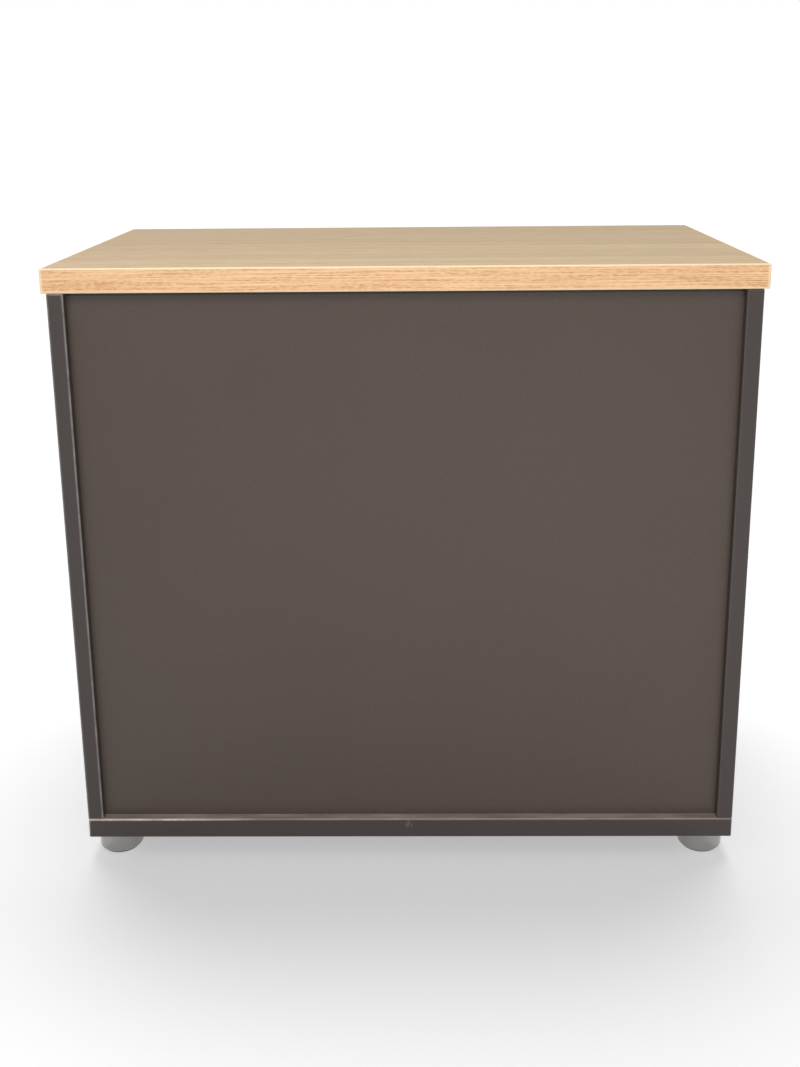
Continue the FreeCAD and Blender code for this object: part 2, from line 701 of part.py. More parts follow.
def make_handles():
    """A bar bent into a bow, with a blind hole in each leg for its screw."""
    body = new_body("handle_right")
    line_y = "door_front_y - handle_reach + handle_bar_diameter / 2"
    path = side_sketch(body, "handle_x")
    low = value("handle_low_z")
    high = value("handle_high_z")
    front = value("door_front_y")
    line = value(line_y)
    radius = value("handle_bend")
    bend = line + radius
    spot = FreeCAD.Vector
    normal = spot(0, 0, 1)
    low_circle = Part.Circle(spot(bend, low + radius, 0), normal, radius)
    high_circle = Part.Circle(spot(bend, high - radius, 0), normal, radius)
    # the lower leg, its bend, the grip, the upper bend and the upper leg
    for piece in (Part.LineSegment(spot(front, low, 0), spot(bend, low, 0)),
                  Part.ArcOfCircle(low_circle, math.pi, 3 * math.pi / 2),
                  Part.LineSegment(spot(line, low + radius, 0), spot(line, high - radius, 0)),
                  Part.ArcOfCircle(high_circle, math.pi / 2, math.pi),
                  Part.LineSegment(spot(bend, high, 0), spot(front, high, 0))):
        path.addGeometry(piece, False)
    for first, first_end, second, second_end in ((0, 2, 1, 2), (1, 1, 2, 1), (2, 2, 3, 2), (3, 1, 4, 1)):
        path.addConstraint(Sketcher.Constraint("Tangent", first, first_end, second, second_end))
    path.addConstraint(Sketcher.Constraint("Horizontal", 0))
    path.addConstraint(Sketcher.Constraint("Vertical", 2))
    fix_point(path, 0, 1, "door_front_y", "handle_low_z")
    fix_point(path, 4, 2, "door_front_y", "handle_high_z")
    bind(path, Sketcher.Constraint("DistanceX", -1, 1, 2, 1, line), line_y)
    bind(path, Sketcher.Constraint("Radius", 1, radius), "handle_bend")
    bind(path, Sketcher.Constraint("Radius", 3, radius), "handle_bend")
    section = draw_circle(front_sketch(body, "door_front_y"), "handle_x", "handle_low_z",
                          "handle_bar_diameter")
    bar = body.newObject("PartDesign::AdditivePipe", "handle_bar")
    bar.Profile = section
    bar.Spine = (path, [])
    doc.recompute()
    holes = front_sketch(body, "door_front_y")
    for height in ("handle_low_z", "handle_high_z"):
        draw_circle(holes, "handle_x", height, "handle_screw_diameter + 2 * fit_clearance")
    pocket(body, holes, "handle_screw_grip + fit_clearance", along_normal=True)
    keep("handle_right", body)
    keep("handle_left", mirrored("handle_left", body))

    shank = "handle_screw_diameter / 2"
    head = "handle_screw_head_diameter / 2"
    tip = "door_thickness + handle_screw_grip"
    profile = [("0", "0 - handle_screw_head_height"), (head, "0 - handle_screw_head_height"), (head, "0"),
               (shank, "0"), (shank, tip), ("0", tip)]
    right = [turned(f"{height}_screw", profile, "handle_x", "door_rear_y", height, ALONG_FRONT)
             for height in ("handle_low_z", "handle_high_z")]
    left = [mirrored(f"{screw.Name}_left", screw) for screw in right]
    group("handle_screws_right", right)
    group("handle_screws_left", left)


def make_hinge_arm(name, level):
    """The arm runs along the side panel, turns outward in the gap before it and ends in two eyes."""
    body = new_body(f"hinge_arm_right_{name}")
    web = "hinge_web_width / 2"
    strip = draw_outline(plan_sketch(body, level), [
        ("arm_wall_x", "arm_tail_y"), ("arm_face_x", "arm_tail_y"), ("arm_face_x", "nose_front_y"),
        (f"pivot_x - {web}", "nose_front_y"), (f"pivot_x - {web}", "pivot_y"),
        (f"pivot_x + {web}", "pivot_y"), (f"pivot_x + {web}", "nose_rear_y"),
        ("arm_wall_x", "nose_rear_y")])
    pad(body, strip, "hinge_arm_height", symmetric=True)
    at_elbow = [lies_at("x", "arm_face_x"), lies_at("y", "nose_front_y")]
    round_edges(body, "hinge_arm_elbow", lambda edge: all(test(edge) for test in at_elbow))
    at_tail = [lies_at("x", "arm_face_x"), lies_at("y", "arm_tail_y")]
    round_edges(body, "hinge_arm_elbow", lambda edge: all(test(edge) for test in at_tail))
    eye = draw_circle(plan_sketch(body, level), "pivot_x", "pivot_y", "hinge_eye_diameter")
    pad(body, eye, "hinge_arm_height", symmetric=True)
    room = draw_circle(plan_sketch(body, level), "pivot_x", "pivot_y",
                       "hinge_eye_diameter + 2 * hinge_eye_clearance")
    pocket(body, room, "hinge_eye_height + 2 * hinge_eye_gap", symmetric=True)
    bore = draw_circle(plan_sketch(body, level), "pivot_x", "pivot_y",
                       "hinge_pin_diameter + 2 * hinge_pin_clearance")
    pocket(body, bore, "hinge_arm_height", symmetric=True)
    keep(f"hinge_arm_right_{name}", body)
    keep(f"hinge_arm_left_{name}", mirrored(f"hinge_arm_left_{name}", body))


def make_hinge_cup(name, level):
    """The cup sits in the door's bore. Its nose carries the middle eye round the hinge pin."""
    body = new_body(f"hinge_cup_right_{name}")
    disc = draw_circle(front_sketch(body, "door_rear_y"), "cup_x", level, "hinge_cup_diameter")
    pad(body, disc, "hinge_cup_depth")
    recess = draw_circle(front_sketch(body, "door_rear_y"), "cup_x", level,
                         "hinge_cup_diameter - 2 * hinge_cup_rim")
    pocket(body, recess, "hinge_cup_recess", along_normal=True)
    nose = draw_rectangle(plan_sketch(body, level), "cup_x", "pivot_x",
                          "pivot_y - hinge_eye_diameter / 2", "pivot_y")
    pad(body, nose, "hinge_eye_height", symmetric=True)
    eye = draw_circle(plan_sketch(body, level), "pivot_x", "pivot_y", "hinge_eye_diameter")
    pad(body, eye, "hinge_eye_height", symmetric=True)
    bore = draw_circle(plan_sketch(body, level), "pivot_x", "pivot_y",
                       "hinge_pin_diameter + 2 * hinge_pin_clearance")
    pocket(body, bore, "hinge_eye_height", symmetric=True)
    keep(f"hinge_cup_right_{name}", body)
    keep(f"hinge_cup_left_{name}", mirrored(f"hinge_cup_left_{name}", body))


def make_hinges():
    pins = []
    plates = []
    screws = []
    half_pin = "hinge_arm_height / 2 + hinge_pin_stand"
    pin_profile = rod_profile("hinge_pin_diameter", f"0 - ({half_pin})", half_pin)
    screw_head = "hinge_screw_head_diameter / 2"
    screw_shank = "hinge_screw_diameter / 2"
    screw_top = "0 - hinge_plate_thickness - hinge_screw_head_height"
    screw_profile = [("0", screw_top), (screw_head, screw_top), (screw_head, "0 - hinge_plate_thickness"),
                     (screw_shank, "0 - hinge_plate_thickness"), (screw_shank, "hinge_screw_length"),
                     ("0", "hinge_screw_length")]
    for name, level in HINGE_LEVELS.items():
        make_hinge_arm(name, level)
        make_hinge_cup(name, level)
        pins.append(turned(f"hinge_pin_{name}", pin_profile, "pivot_x", "pivot_y", level))
        plate = new_body(f"hinge_plate_{name}")
        arm = "hinge_arm_height / 2"
        wing = "hinge_plate_wing_width / 2"
        front, back = "side_front_y + hinge_plate_setback", "arm_tail_y"
        near, far = f"plate_screw_y - {wing}", f"plate_screw_y + {wing}"
        cross = [(front, arm), (near, arm), (near, "hinge_plate_wing_reach"),
                 (far, "hinge_plate_wing_reach"), (far, arm), (back, arm)]
        outline = [(across, f"{level} + {up}") for across, up in cross]
        outline += [(across, f"{level} - {up}") for across, up in reversed(cross)]
        pad(plate, draw_outline(side_sketch(plate, "arm_wall_x"), outline), "hinge_plate_thickness")
        holes = side_sketch(plate, "arm_wall_x")
        for side in SIDES:
            height = f"{level} + {side} * hinge_screw_spacing / 2"
            draw_circle(holes, "plate_screw_y", height, "hinge_screw_diameter + 2 * fit_clearance")
            screws.append(turned(f"hinge_screw_{name}", screw_profile, "inner_x", "plate_screw_y",
                                 height, ALONG_X))
        pocket(plate, holes, "hinge_plate_thickness", along_normal=True)
        plates.append(plate)
    for label, pieces in (("hinge_pins", pins), ("hinge_plates", plates), ("hinge_screws", screws)):
        group(label, pieces + [mirrored(f"{piece.Name}_left", piece) for piece in pieces])


def make_lock():
    """A cylinder lock: the housing through the door, the plug in it, and the cam that the plug turns."""
    barrel = "lock_barrel_diameter / 2"
    collar = "lock_collar_diameter / 2"
    bore = "lock_plug_diameter / 2 + lock_plug_clearance"
    housing = turned("lock_housing", [
        (bore, "0 - lock_collar_height"), (collar, "0 - lock_collar_height"), (collar, "0"),
        (barrel, "0"), (barrel, "lock_length"), (bore, "lock_length")],
        "lock_x", "door_front_y", "lock_z", ALONG_BACK)
    keep("lock_housing", housing)

    plug_radius = "lock_plug_diameter / 2"
    neck = "lock_plug_neck / 2"
    tail = "lock_length + lock_cam_gap + lock_cam_thickness"
    plug = turned("lock_plug", [
        ("0", "0 - lock_collar_height"), (plug_radius, "0 - lock_collar_height"),
        (plug_radius, "lock_length + lock_cam_gap"), (neck, "lock_length + lock_cam_gap"),
        (neck, tail), ("0", tail)],
        "lock_x", "door_front_y", "lock_z", ALONG_BACK)
    keyway = draw_rectangle(plan_sketch(plug, "0 - lock_collar_height"), "0 - lock_key_width / 2",
                            "lock_key_width / 2", "0 - lock_key_length / 2", "lock_key_length / 2")
    pocket(plug, keyway, "lock_key_depth", along_normal=True)
    keep("lock_plug", plug)

    cam = new_body("lock_cam")
    near_face = "door_front_y + lock_length + lock_cam_gap"
    half = "lock_cam_width / 2"
    blade = draw_rectangle(front_sketch(cam, f"{near_face} + lock_cam_thickness"), f"lock_x - {half}",
                           f"lock_x + {half}", f"lock_z - {half}", "lock_z + lock_cam_reach")
    pad(cam, blade, "lock_cam_thickness")
    round_edges(cam, "lock_cam_width / 3", runs_along("y"))
    hole = draw_circle(front_sketch(cam, near_face), "lock_x", "lock_z",
                       "lock_plug_neck + 2 * fit_clearance")
    pocket(cam, hole, "lock_cam_thickness")
    keep("lock_cam", cam)


def make_slide_bolt():
    """The bolt that holds the left door shut: a guide on the door, a rod with a knob, a bush in the top."""
    guide = new_body("bolt_guide")
    half = "latch_width / 2"
    block = draw_rectangle(plan_sketch(guide, "latch_low_z"), f"0 - latch_x - {half}",
                           f"0 - latch_x + {half}", "door_rear_y", "latch_rear_y")
    pad(guide, block, "latch_height")
    bore = draw_circle(plan_sketch(guide, "latch_low_z"), "0 - latch_x", "latch_axis_y",
                       "latch_rod_diameter + 2 * latch_rod_clearance")
    pocket(guide, bore, "latch_height", along_normal=True)
    slot_half = "(latch_knob_diameter / 2 + latch_knob_clearance)"
    slot = draw_rectangle(front_sketch(guide, "latch_rear_y"), f"0 - latch_x - {slot_half}",
                          f"0 - latch_x + {slot_half}", f"latch_knob_z - {slot_half}",
                          f"latch_knob_z + latch_travel + {slot_half}")
    pocket(guide, slot, "latch_depth - latch_axis_offset", along_normal=True)
    keep("bolt_guide", guide)

    radius = "latch_rod_diameter / 2"
    tip = "latch_rod_diameter / 2 - latch_rod_chamfer"
    low = "latch_low_z - latch_rod_tail"
    rod = turned("bolt_rod", [
        ("0", low), (radius, low), (radius, "latch_rod_top_z - latch_rod_chamfer"),
        (tip, "latch_rod_top_z"), ("0", "latch_rod_top_z")], "0 - latch_x", "latch_axis_y")
    knob = draw_circle(front_sketch(rod, "latch_depth - latch_axis_offset + latch_knob_reach"), "0",
                       "latch_knob_z", "latch_knob_diameter")
    pad(rod, knob, "latch_depth - latch_axis_offset + latch_knob_reach")
    keep("bolt_rod", rod)

    bore_radius = "latch_bush_bore / 2"
    outer = "latch_bush_diameter / 2"
    flange = "latch_bush_diameter / 2 + latch_bush_flange"
    below = "0 - latch_bush_flange_height"
    bush = turned("bolt_bush", [
        (bore_radius, below), (flange, below), (flange, "0"), (outer, "0"),
        (outer, "latch_bush_length"), (bore_radius, "latch_bush_length")],
        "0 - latch_x", "latch_axis_y", "top_under_z")
    keep("bolt_bush", bush)


def make_foot(name, across, depth):
    """A levelling foot: a shell on a glide, carried by a spindle that screws up into the bottom panel."""
    radius = "foot_diameter / 2"
    hole = "spindle_diameter / 2 + spindle_clearance"
    shell = turned(f"foot_{name}", [
        ("0", "glide_thickness"), (radius, "glide_thickness"), (radius, "foot_top_z"),
        (hole, "foot_top_z"), (hole, "foot_socket_floor"), ("0", "foot_socket_floor")], across, depth)
    rim = value("foot_diameter / 2")
    for height, rounding in (("glide_thickness", "foot_lower_radius"), ("foot_top_z", "foot_upper_radius")):
        at_height = lies_at("z", height)
        round_edges(shell, rounding, lambda edge: at_height(edge) and edge.BoundBox.XLength > rim)
    keep(f"foot_{name}", shell)

    glide_radius = "foot_diameter / 2 - glide_margin"
    glide = turned(f"foot_glide_{name}", [
        ("0", "0"), (glide_radius, "0"), (glide_radius, "glide_thickness"), ("0", "glide_thickness")],
        across, depth)
    keep(f"foot_glide_{name}", glide)

    stem = "spindle_diameter / 2"
    tip = "spindle_diameter / 2 - spindle_chamfer"
    seat = "foot_socket_floor + spindle_seat_gap"
    spindle = turned(f"foot_spindle_{name}", [
        ("0", seat), (stem, seat), (stem, "spindle_top_z - spindle_chamfer"), (tip, "spindle_top_z"),
        ("0", "spindle_top_z")], across, depth)
    corner = "socket_width / 2 / cos(30)"
    socket = draw_outline(plan_sketch(spindle, "spindle_top_z"),
                          [(f"{a} * {corner}", f"{b} * {corner}") for a, b in HEXAGON_SHARES])
    pocket(spindle, socket, "socket_depth")
    keep(f"foot_spindle_{name}", spindle)

    bore = "spindle_diameter / 2 + spindle_clearance"
    outer = "insert_diameter / 2"
    flange = "insert_flange_diameter / 2"
    flange_z = "foot_height - insert_flange_height"
    insert_top = "foot_height + insert_length"
    insert = turned(f"foot_insert_{name}", [
        (bore, flange_z), (flange, flange_z), (flange, "foot_height"), (outer, "foot_height"),
        (outer, insert_top), (bore, insert_top)], across, depth)
    cap_top = "bottom_top_z + cap_height"
    plug_low = "bottom_top_z - cap_plug_length"
    cap = turned(f"foot_cap_{name}", [
        ("0", plug_low), (outer, plug_low), (outer, "bottom_top_z"), ("cap_diameter / 2", "bottom_top_z"),
        ("cap_diameter / 2", "bottom_top_z + cap_height / 2"), (outer, cap_top), ("0", cap_top)],
        across, depth)
    return insert, cap


def make_feet():
    inserts = []
    caps = []
    for row, depth in (("front", "foot_front_y"), ("back", "foot_back_y")):
        for hand, side in (("left", -1), ("right", 1)):
            insert, cap = make_foot(f"{row}_{hand}", f"{side} * foot_x", depth)
            inserts.append(insert)
            caps.append(cap)
    group("foot_inserts", inserts)
    group("foot_caps", caps)


def write_parts():
    doc.recompute()
    broken = [thing.Name for thing in doc.Objects if {"Invalid", "Error"} & set(thing.State)]
    if broken:
        raise RuntimeError(f"failed objects: {broken}")
    for label, node in nodes.items():
        if node.Shape.isNull() or not node.Shape.isValid():
            raise RuntimeError(f"bad shape: {label}")
    os.makedirs("parts", exist_ok=True)
    for label, node in nodes.items():
        node.Shape.exportStep(f"parts/{label}.step")


make_top()
make_top_bands()
make_side_panels()
make_bottom()
make_back_panel()
make_shelf()
make_board_fittings()
make_door("door_right", 1)
make_door("door_left", -1)
make_buffers()
make_handles()
make_hinges()
make_lock()
make_slide_bolt()
make_feet()
write_parts()
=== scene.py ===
import math
from typing import NamedTuple

import bmesh
import bpy
from bpy.props import FloatProperty, FloatVectorProperty, IntProperty, PointerProperty
from mathutils import Color, Matrix, Vector


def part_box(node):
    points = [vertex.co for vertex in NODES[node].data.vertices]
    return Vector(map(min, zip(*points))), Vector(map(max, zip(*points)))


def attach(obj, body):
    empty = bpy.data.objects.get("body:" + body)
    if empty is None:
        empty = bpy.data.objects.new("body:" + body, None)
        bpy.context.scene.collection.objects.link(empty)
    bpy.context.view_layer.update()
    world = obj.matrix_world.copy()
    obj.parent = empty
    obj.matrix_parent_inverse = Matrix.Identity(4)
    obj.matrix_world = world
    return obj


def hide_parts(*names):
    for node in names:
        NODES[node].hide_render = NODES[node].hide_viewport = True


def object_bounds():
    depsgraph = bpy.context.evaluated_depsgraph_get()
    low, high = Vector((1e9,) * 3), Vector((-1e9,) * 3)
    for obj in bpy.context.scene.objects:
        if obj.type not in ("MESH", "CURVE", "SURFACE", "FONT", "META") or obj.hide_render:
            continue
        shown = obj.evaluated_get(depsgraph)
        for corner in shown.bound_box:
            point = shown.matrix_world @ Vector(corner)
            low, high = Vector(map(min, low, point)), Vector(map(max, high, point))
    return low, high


# Looks of a desk-height office sideboard: oak-decor top, graphite boards, silver levelling feet.
# Metres, +Z up. The doors face -Y and the plain back faces +Y, towards the camera.

bl_info = {
    "name": "Office Sideboard",
    "version": (1, 0, 0),
    "blender": (4, 5, 0),
    "location": "View3D > Sidebar > Sideboard",
    "description": "Finishes the boards and fittings of an office sideboard and sets its stage",
    "category": "Object",
}

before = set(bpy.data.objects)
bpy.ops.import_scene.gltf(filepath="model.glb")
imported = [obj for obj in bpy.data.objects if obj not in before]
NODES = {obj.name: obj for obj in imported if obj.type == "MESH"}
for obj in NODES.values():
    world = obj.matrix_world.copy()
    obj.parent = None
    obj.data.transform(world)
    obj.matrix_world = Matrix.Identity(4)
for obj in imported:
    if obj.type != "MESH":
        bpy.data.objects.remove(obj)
CAD_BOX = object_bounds()

# The photograph's frame, in pixels.
PHOTO_WIDTH = 800
PHOTO_HEIGHT = 1067

# How far each plank of the top's decor goes towards the streak colour, from the doors to the back: plank
# tones with painted shade, darkest towards the doors and lightest at the back.
PLANK_TONE_AND_SHADE_STEPS = (0.5, 0.42, 0.24, 0.06)

FULL_TURN = 2 * math.pi
SHARP_EDGE = math.radians(32)
ALONG_X, ALONG_Y = 0, 1
UP, REARWARD, FORWARD = (0, 0, 1), (0, 1, 0), (0, -1, 0)

# Sizes of fittings that the frame's boxes don't give, as the source has them.
HINGE_ARM_THICKNESS = 0.007
PLATE_SCREW_HEAD = 0.002
PLATE_SCREW_SHANK = 0.0025
PLATE_SCREW_SPACING = 0.032
LOCK_BARREL = 0.009
LOCK_NECK = 0.004
LOCK_SEAM = 0.0002
LOCK_CAM_THICKNESS = 0.0024
LOCK_KEY_WIDTH = 0.0016
LOCK_KEY_LENGTH = 0.008
LOCK_KEY_DEPTH = 0.009

# Small details, as multiples of the sizes that they follow, such as a shank's radius of its head's, the
# places of setting screws of their arm's length, and a lock's rim of its collar's radius and rise.
SHANK_SHARE = 0.6
HANDLE_SHANK_SHARE = 0.5
ADJUSTER_SHARES = (0.55, 0.82)
EAR_START_SHARE = 0.82
EAR_ROUND_SHARE = 0.48
EAR_EDGE_SHARE = 0.25
EAR_GRIP_RATIO = 4
GUIDE_INSET_RATIO = 1.5
LOCK_FACE_SHARE = 0.75
LOCK_ROUND_SHARE = 0.12
LOCK_BORE_SHARE = 0.6
COLLAR_SHARES = ((1, 0.5), (0.975, 0.8), (0.92, 0.97), (0.84, 1), (0.68, 0.92), (0.6, 0.7))
THREAD_SHARES = (0.4, 0.55, 0.95)
THREAD_ROOT_SHARE = 0.25

HANDS = ("left", "right")
LEVELS = ("upper", "lower")
FEET = [f"{row}_{hand}" for row in ("front", "back") for hand in HANDS]


class Pattern(NamedTuple):
    """Noise with cells of this size along X, Y and Z, and the limits between which it counts"""

    size: tuple
    low: float
    high: float
    detail: int = 2
    roughness: float = 0.5


def even(size):
    """Cells of one size all round"""
    return (size, size, size)


# Noise in the finishes. The oak's patterns run along X and are turned with their pieces, and its grain is
# straight lines and the stretches in which they show.
OAK_CLOUDS = Pattern((0.9, 0.06, 0.06), 0.32, 0.68, detail=3)
OAK_PORES = Pattern((0.012, 0.0007, 0.0007), 0.56, 0.7)
TOP_GRAIN = (Pattern((0.6, 0.0016, 0.0016), 0.4, 0.62), Pattern((0.03, 0.0032, 0.0032), 0.36, 0.64))
BAND_GRAIN = (Pattern((0.12, 0.0009, 0.0009), 0.4, 0.62), Pattern((0.006, 0.0018, 0.0018), 0.36, 0.64))
BOARD_CLOUDS = Pattern(even(0.16), 0.35, 0.65, detail=3)
BOARD_FLECKS = Pattern(even(0.0011), 0.5, 0.75, detail=1)
# Patches along the boards' edges: worn edges with a painted highlight.
BOARD_WORN_HIGHLIGHT_PATCHES = Pattern(even(0.02), 0.3, 0.65, detail=4, roughness=0.6)
BOARD_GLOSS = Pattern(even(0.012), 0.3, 0.7, detail=4)
BOARD_TEXTURE = Pattern(even(0.0009), 0, 1)
# Patches of the pale dusting with painted light on the ledge.
DUST_AND_LIGHT_PATCHES = Pattern((0.05, 0.01, 0.01), 0.3, 0.7, detail=4)
SCUFF_SCRATCHES = Pattern((0.0018, 0.01, 0.009), 0.5, 0.6)
NICKEL_BRUSH = Pattern((0.0004, 0.0004, 0.006), 0.4, 0.7, detail=3)
ZINC_GRAIN = Pattern(even(0.0012), 0.4, 0.7, detail=3)
STEEL_GRAIN = Pattern(even(0.0008), 0.4, 0.7, detail=3)
SILVER_FLAKES = Pattern(even(0.0006), 0.35, 0.65, detail=1)
PLASTIC_SPARK = Pattern(even(0.0005), 0.4, 0.7)
BEECH_FLECKS = Pattern((0.0007, 0.0007, 0.006), 0.5, 0.75)
GLOSS_LIMITS = (0.3, 0.7)

# The marks' colour, as a share of the colour that they lie on.
BOARD_CLOUD_SHADE = 0.95
METAL_SHADE = 0.86
SILVER_SHADE = 0.8
PLASTIC_SHADE = 1.2
BEECH_SHADE = 0.7

# How far roughness goes down and up with the marks.
OAK_SPREAD = (0, 0.08)
BOARD_SPREAD = (-0.015, 0.015)
METAL_SPREAD = (-0.06, 0.08)
SILVER_SPREAD = (-0.04, 0.04)
PLASTIC_SPREAD = (-0.05, 0.05)
BEECH_SPREAD = (0, 0.15)

# Least and greatest amounts of the marks, and depths of bumps, in metres.
OAK_LINE_LEAST = 0.3
WORN_HIGHLIGHT_AMOUNTS = (0.35, 0.9)
DUST_AND_LIGHT_AMOUNTS = (0.5, 0.95)
PORE_DEPTH = 0.00004
FINE_DEPTH = 0.00002

# Where the worn edges with their painted highlight, the pale dusting with painted light on the ledge, and
# the scuff begin and end; the bands' painted highlights also reach further in at their ends.
ARRIS_CORE_SHARE = 0.3
BAND_END_HIGHLIGHT_STRETCH = 1.8
SCUFF_CORE_SHARE = 0.4
DUST_AND_LIGHT_START = 0.001
DUST_AND_LIGHT_DEEPEST = 0.0012
DUST_AND_LIGHT_FULL = 0.0002


def corners(node):
    """The low and the high corner of a node's box"""
    low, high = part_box(node)
    return Vector(low), Vector(high)


def display(red, green, blue):
    """A colour as a screen shows it, from 0 to 255, as the linear colour that a shader takes"""
    return tuple(Color((red / 255, green / 255, blue / 255)).from_srgb_to_scene_linear())


def colour(name, description, red, green, blue):
    return FloatVectorProperty(name=name, description=description, subtype="COLOR", size=3,
                               min=0, max=1, default=display(red, green, blue))


def length(name, description, metres):
    return FloatProperty(name=name, description=description, unit="LENGTH", min=0, default=metres,
                         precision=5)


def share(name, description, amount, most=1):
    return FloatProperty(name=name, description=description, min=0, max=most, default=amount)


def angle(name, description, degrees):
    return FloatProperty(name=name, description=description, subtype="ANGLE",
                         default=math.radians(degrees))


def power(name, description, watts):
    return FloatProperty(name=name, description=description, unit="POWER", min=0, default=watts)


def position(name, description, x, y, z):
    return FloatVectorProperty(name=name, description=description, subtype="XYZ", unit="LENGTH",
                               default=(x, y, z), precision=4)


def direction(name, description, x, y, z):
    return FloatVectorProperty(name=name, description=description, subtype="DIRECTION", default=(x, y, z))


class SideboardFinishes(bpy.types.PropertyGroup):
    """Colours, gloss and worn edges of the surfaces, with painted highlights, painted light and painted
    shade among them
    """

    oak_top: colour("Oak top", "Ground of the laminate on the top", 188, 164, 125)
    oak_top_streak: colour("Oak top streak", "Darker growth lines in the top", 154, 128, 93)
    oak_band: colour("Oak band", "Ground of the bands round the top", 245, 206, 162)
    oak_band_streak: colour("Oak band streak", "Darker growth lines in the bands", 199, 145, 100)
    # Painted highlight on the bands' rounded edges.
    oak_edge_highlight: colour("Oak arris", "Paler rounded edges of the bands", 255, 232, 196)
    oak_pore: colour("Oak pore", "Short dark pores in the oak", 168, 118, 76)
    graphite: colour("Graphite", "Melamine of the carcass boards and doors", 57, 49, 46)
    graphite_back: colour("Graphite back", "Paler melamine of the back panel", 72, 61, 54)
    # Worn edges of the boards with a painted highlight along them.
    graphite_worn_edge_highlight: colour("Graphite arris", "Rubbed edges of the boards", 138, 137, 133)
    # Worn upper edge of the bottom panel with a painted highlight along it.
    ledge_worn_highlight: colour("Ledge arris", "Rubbed edge of the bottom panel", 240, 216, 205)
    # A pale dusting on the ledge that also stands in for painted light there; the scuff's scratches take it
    # too.
    pale_dust_and_light: colour("Dust", "Fine dust on the ledge below the back panel", 158, 143, 136)
    # Painted shadow in the joint between the back panel and the top.
    seam: colour("Seam", "Dark joint between the back panel and the top", 22, 17, 14)
    silver: colour("Silver", "Lacquer of the feet", 168, 165, 162)
    nickel: colour("Nickel", "Satin nickel of handles and lock", 178, 173, 165)
    zinc: colour("Zinc", "Die-cast zinc of hinges and cams", 158, 158, 156)
    steel: colour("Steel", "Zinc-plated steel of screws and rods", 170, 170, 165)
    dark_plastic: colour("Dark plastic", "Glides and caps", 34, 33, 32)
    beech: colour("Beech", "Dowels", 206, 164, 116)
    pad: colour("Pad", "Soft door buffers", 196, 198, 196)
    board_pearl: share("Board pearl", "Strength of the fine flecks in the melamine", 0.05)
    scuff_strength: share("Scuff", "Strength of the scratches in the small scuff", 0.45)
    board_gloss: share("Board roughness", "Roughness of the satin melamine", 0.42)
    arris_gloss: share("Arris roughness", "Roughness of the boards' rubbed edges", 0.28)
    # Painted highlight and worn look on the left side panel's edges, kept faint there.
    left_worn_highlight: share("Left wear", "How far the left side panel's edges are rubbed", 0.1)
    # Painted highlight and worn look along most of the bottom panel's edge, which grow towards its right
    # end.
    ledge_worn_highlight_share: share("Ledge wear", "How far most of the bottom panel's edge is rubbed", 0.12)
    top_clouds: share("Top clouds", "Strength of the slow tones in the top", 0.32)
    band_clouds: share("Band clouds", "Strength of the slow tones in the bands", 0.2)
    top_pores: share("Top pores", "Strength of the pores in the top", 0.25)
    band_pores: share("Band pores", "Strength of the pores in the bands", 0.3)
    # Strength of the painted highlight on the bands' edges.
    band_highlight_strength: share("Band paleness", "How pale the bands' rounded edges are", 0.8)
    oak_gloss: share("Oak roughness", "Roughness of the matt laminate", 0.56)
    oak_shine: share("Oak shine", "Strength of the matt laminate's reflections", 0.15)
    silver_gloss: share("Silver roughness", "Roughness of the feet's lacquer", 0.24)
    silver_coat: share("Silver coat", "Strength of the clear coat on the feet", 0.2)
    nickel_gloss: share("Nickel roughness", "Roughness of handles and lock", 0.3)
    zinc_gloss: share("Zinc roughness", "Roughness of hinges and cams", 0.36)
    steel_gloss: share("Steel roughness", "Roughness of screws and rods", 0.3)
    plastic_gloss: share("Plastic roughness", "Roughness of glides and caps", 0.5)
    pad_gloss: share("Pad roughness", "Roughness of the door buffers", 0.55)
    beech_gloss: share("Beech roughness", "Roughness of the dowels", 0.6)


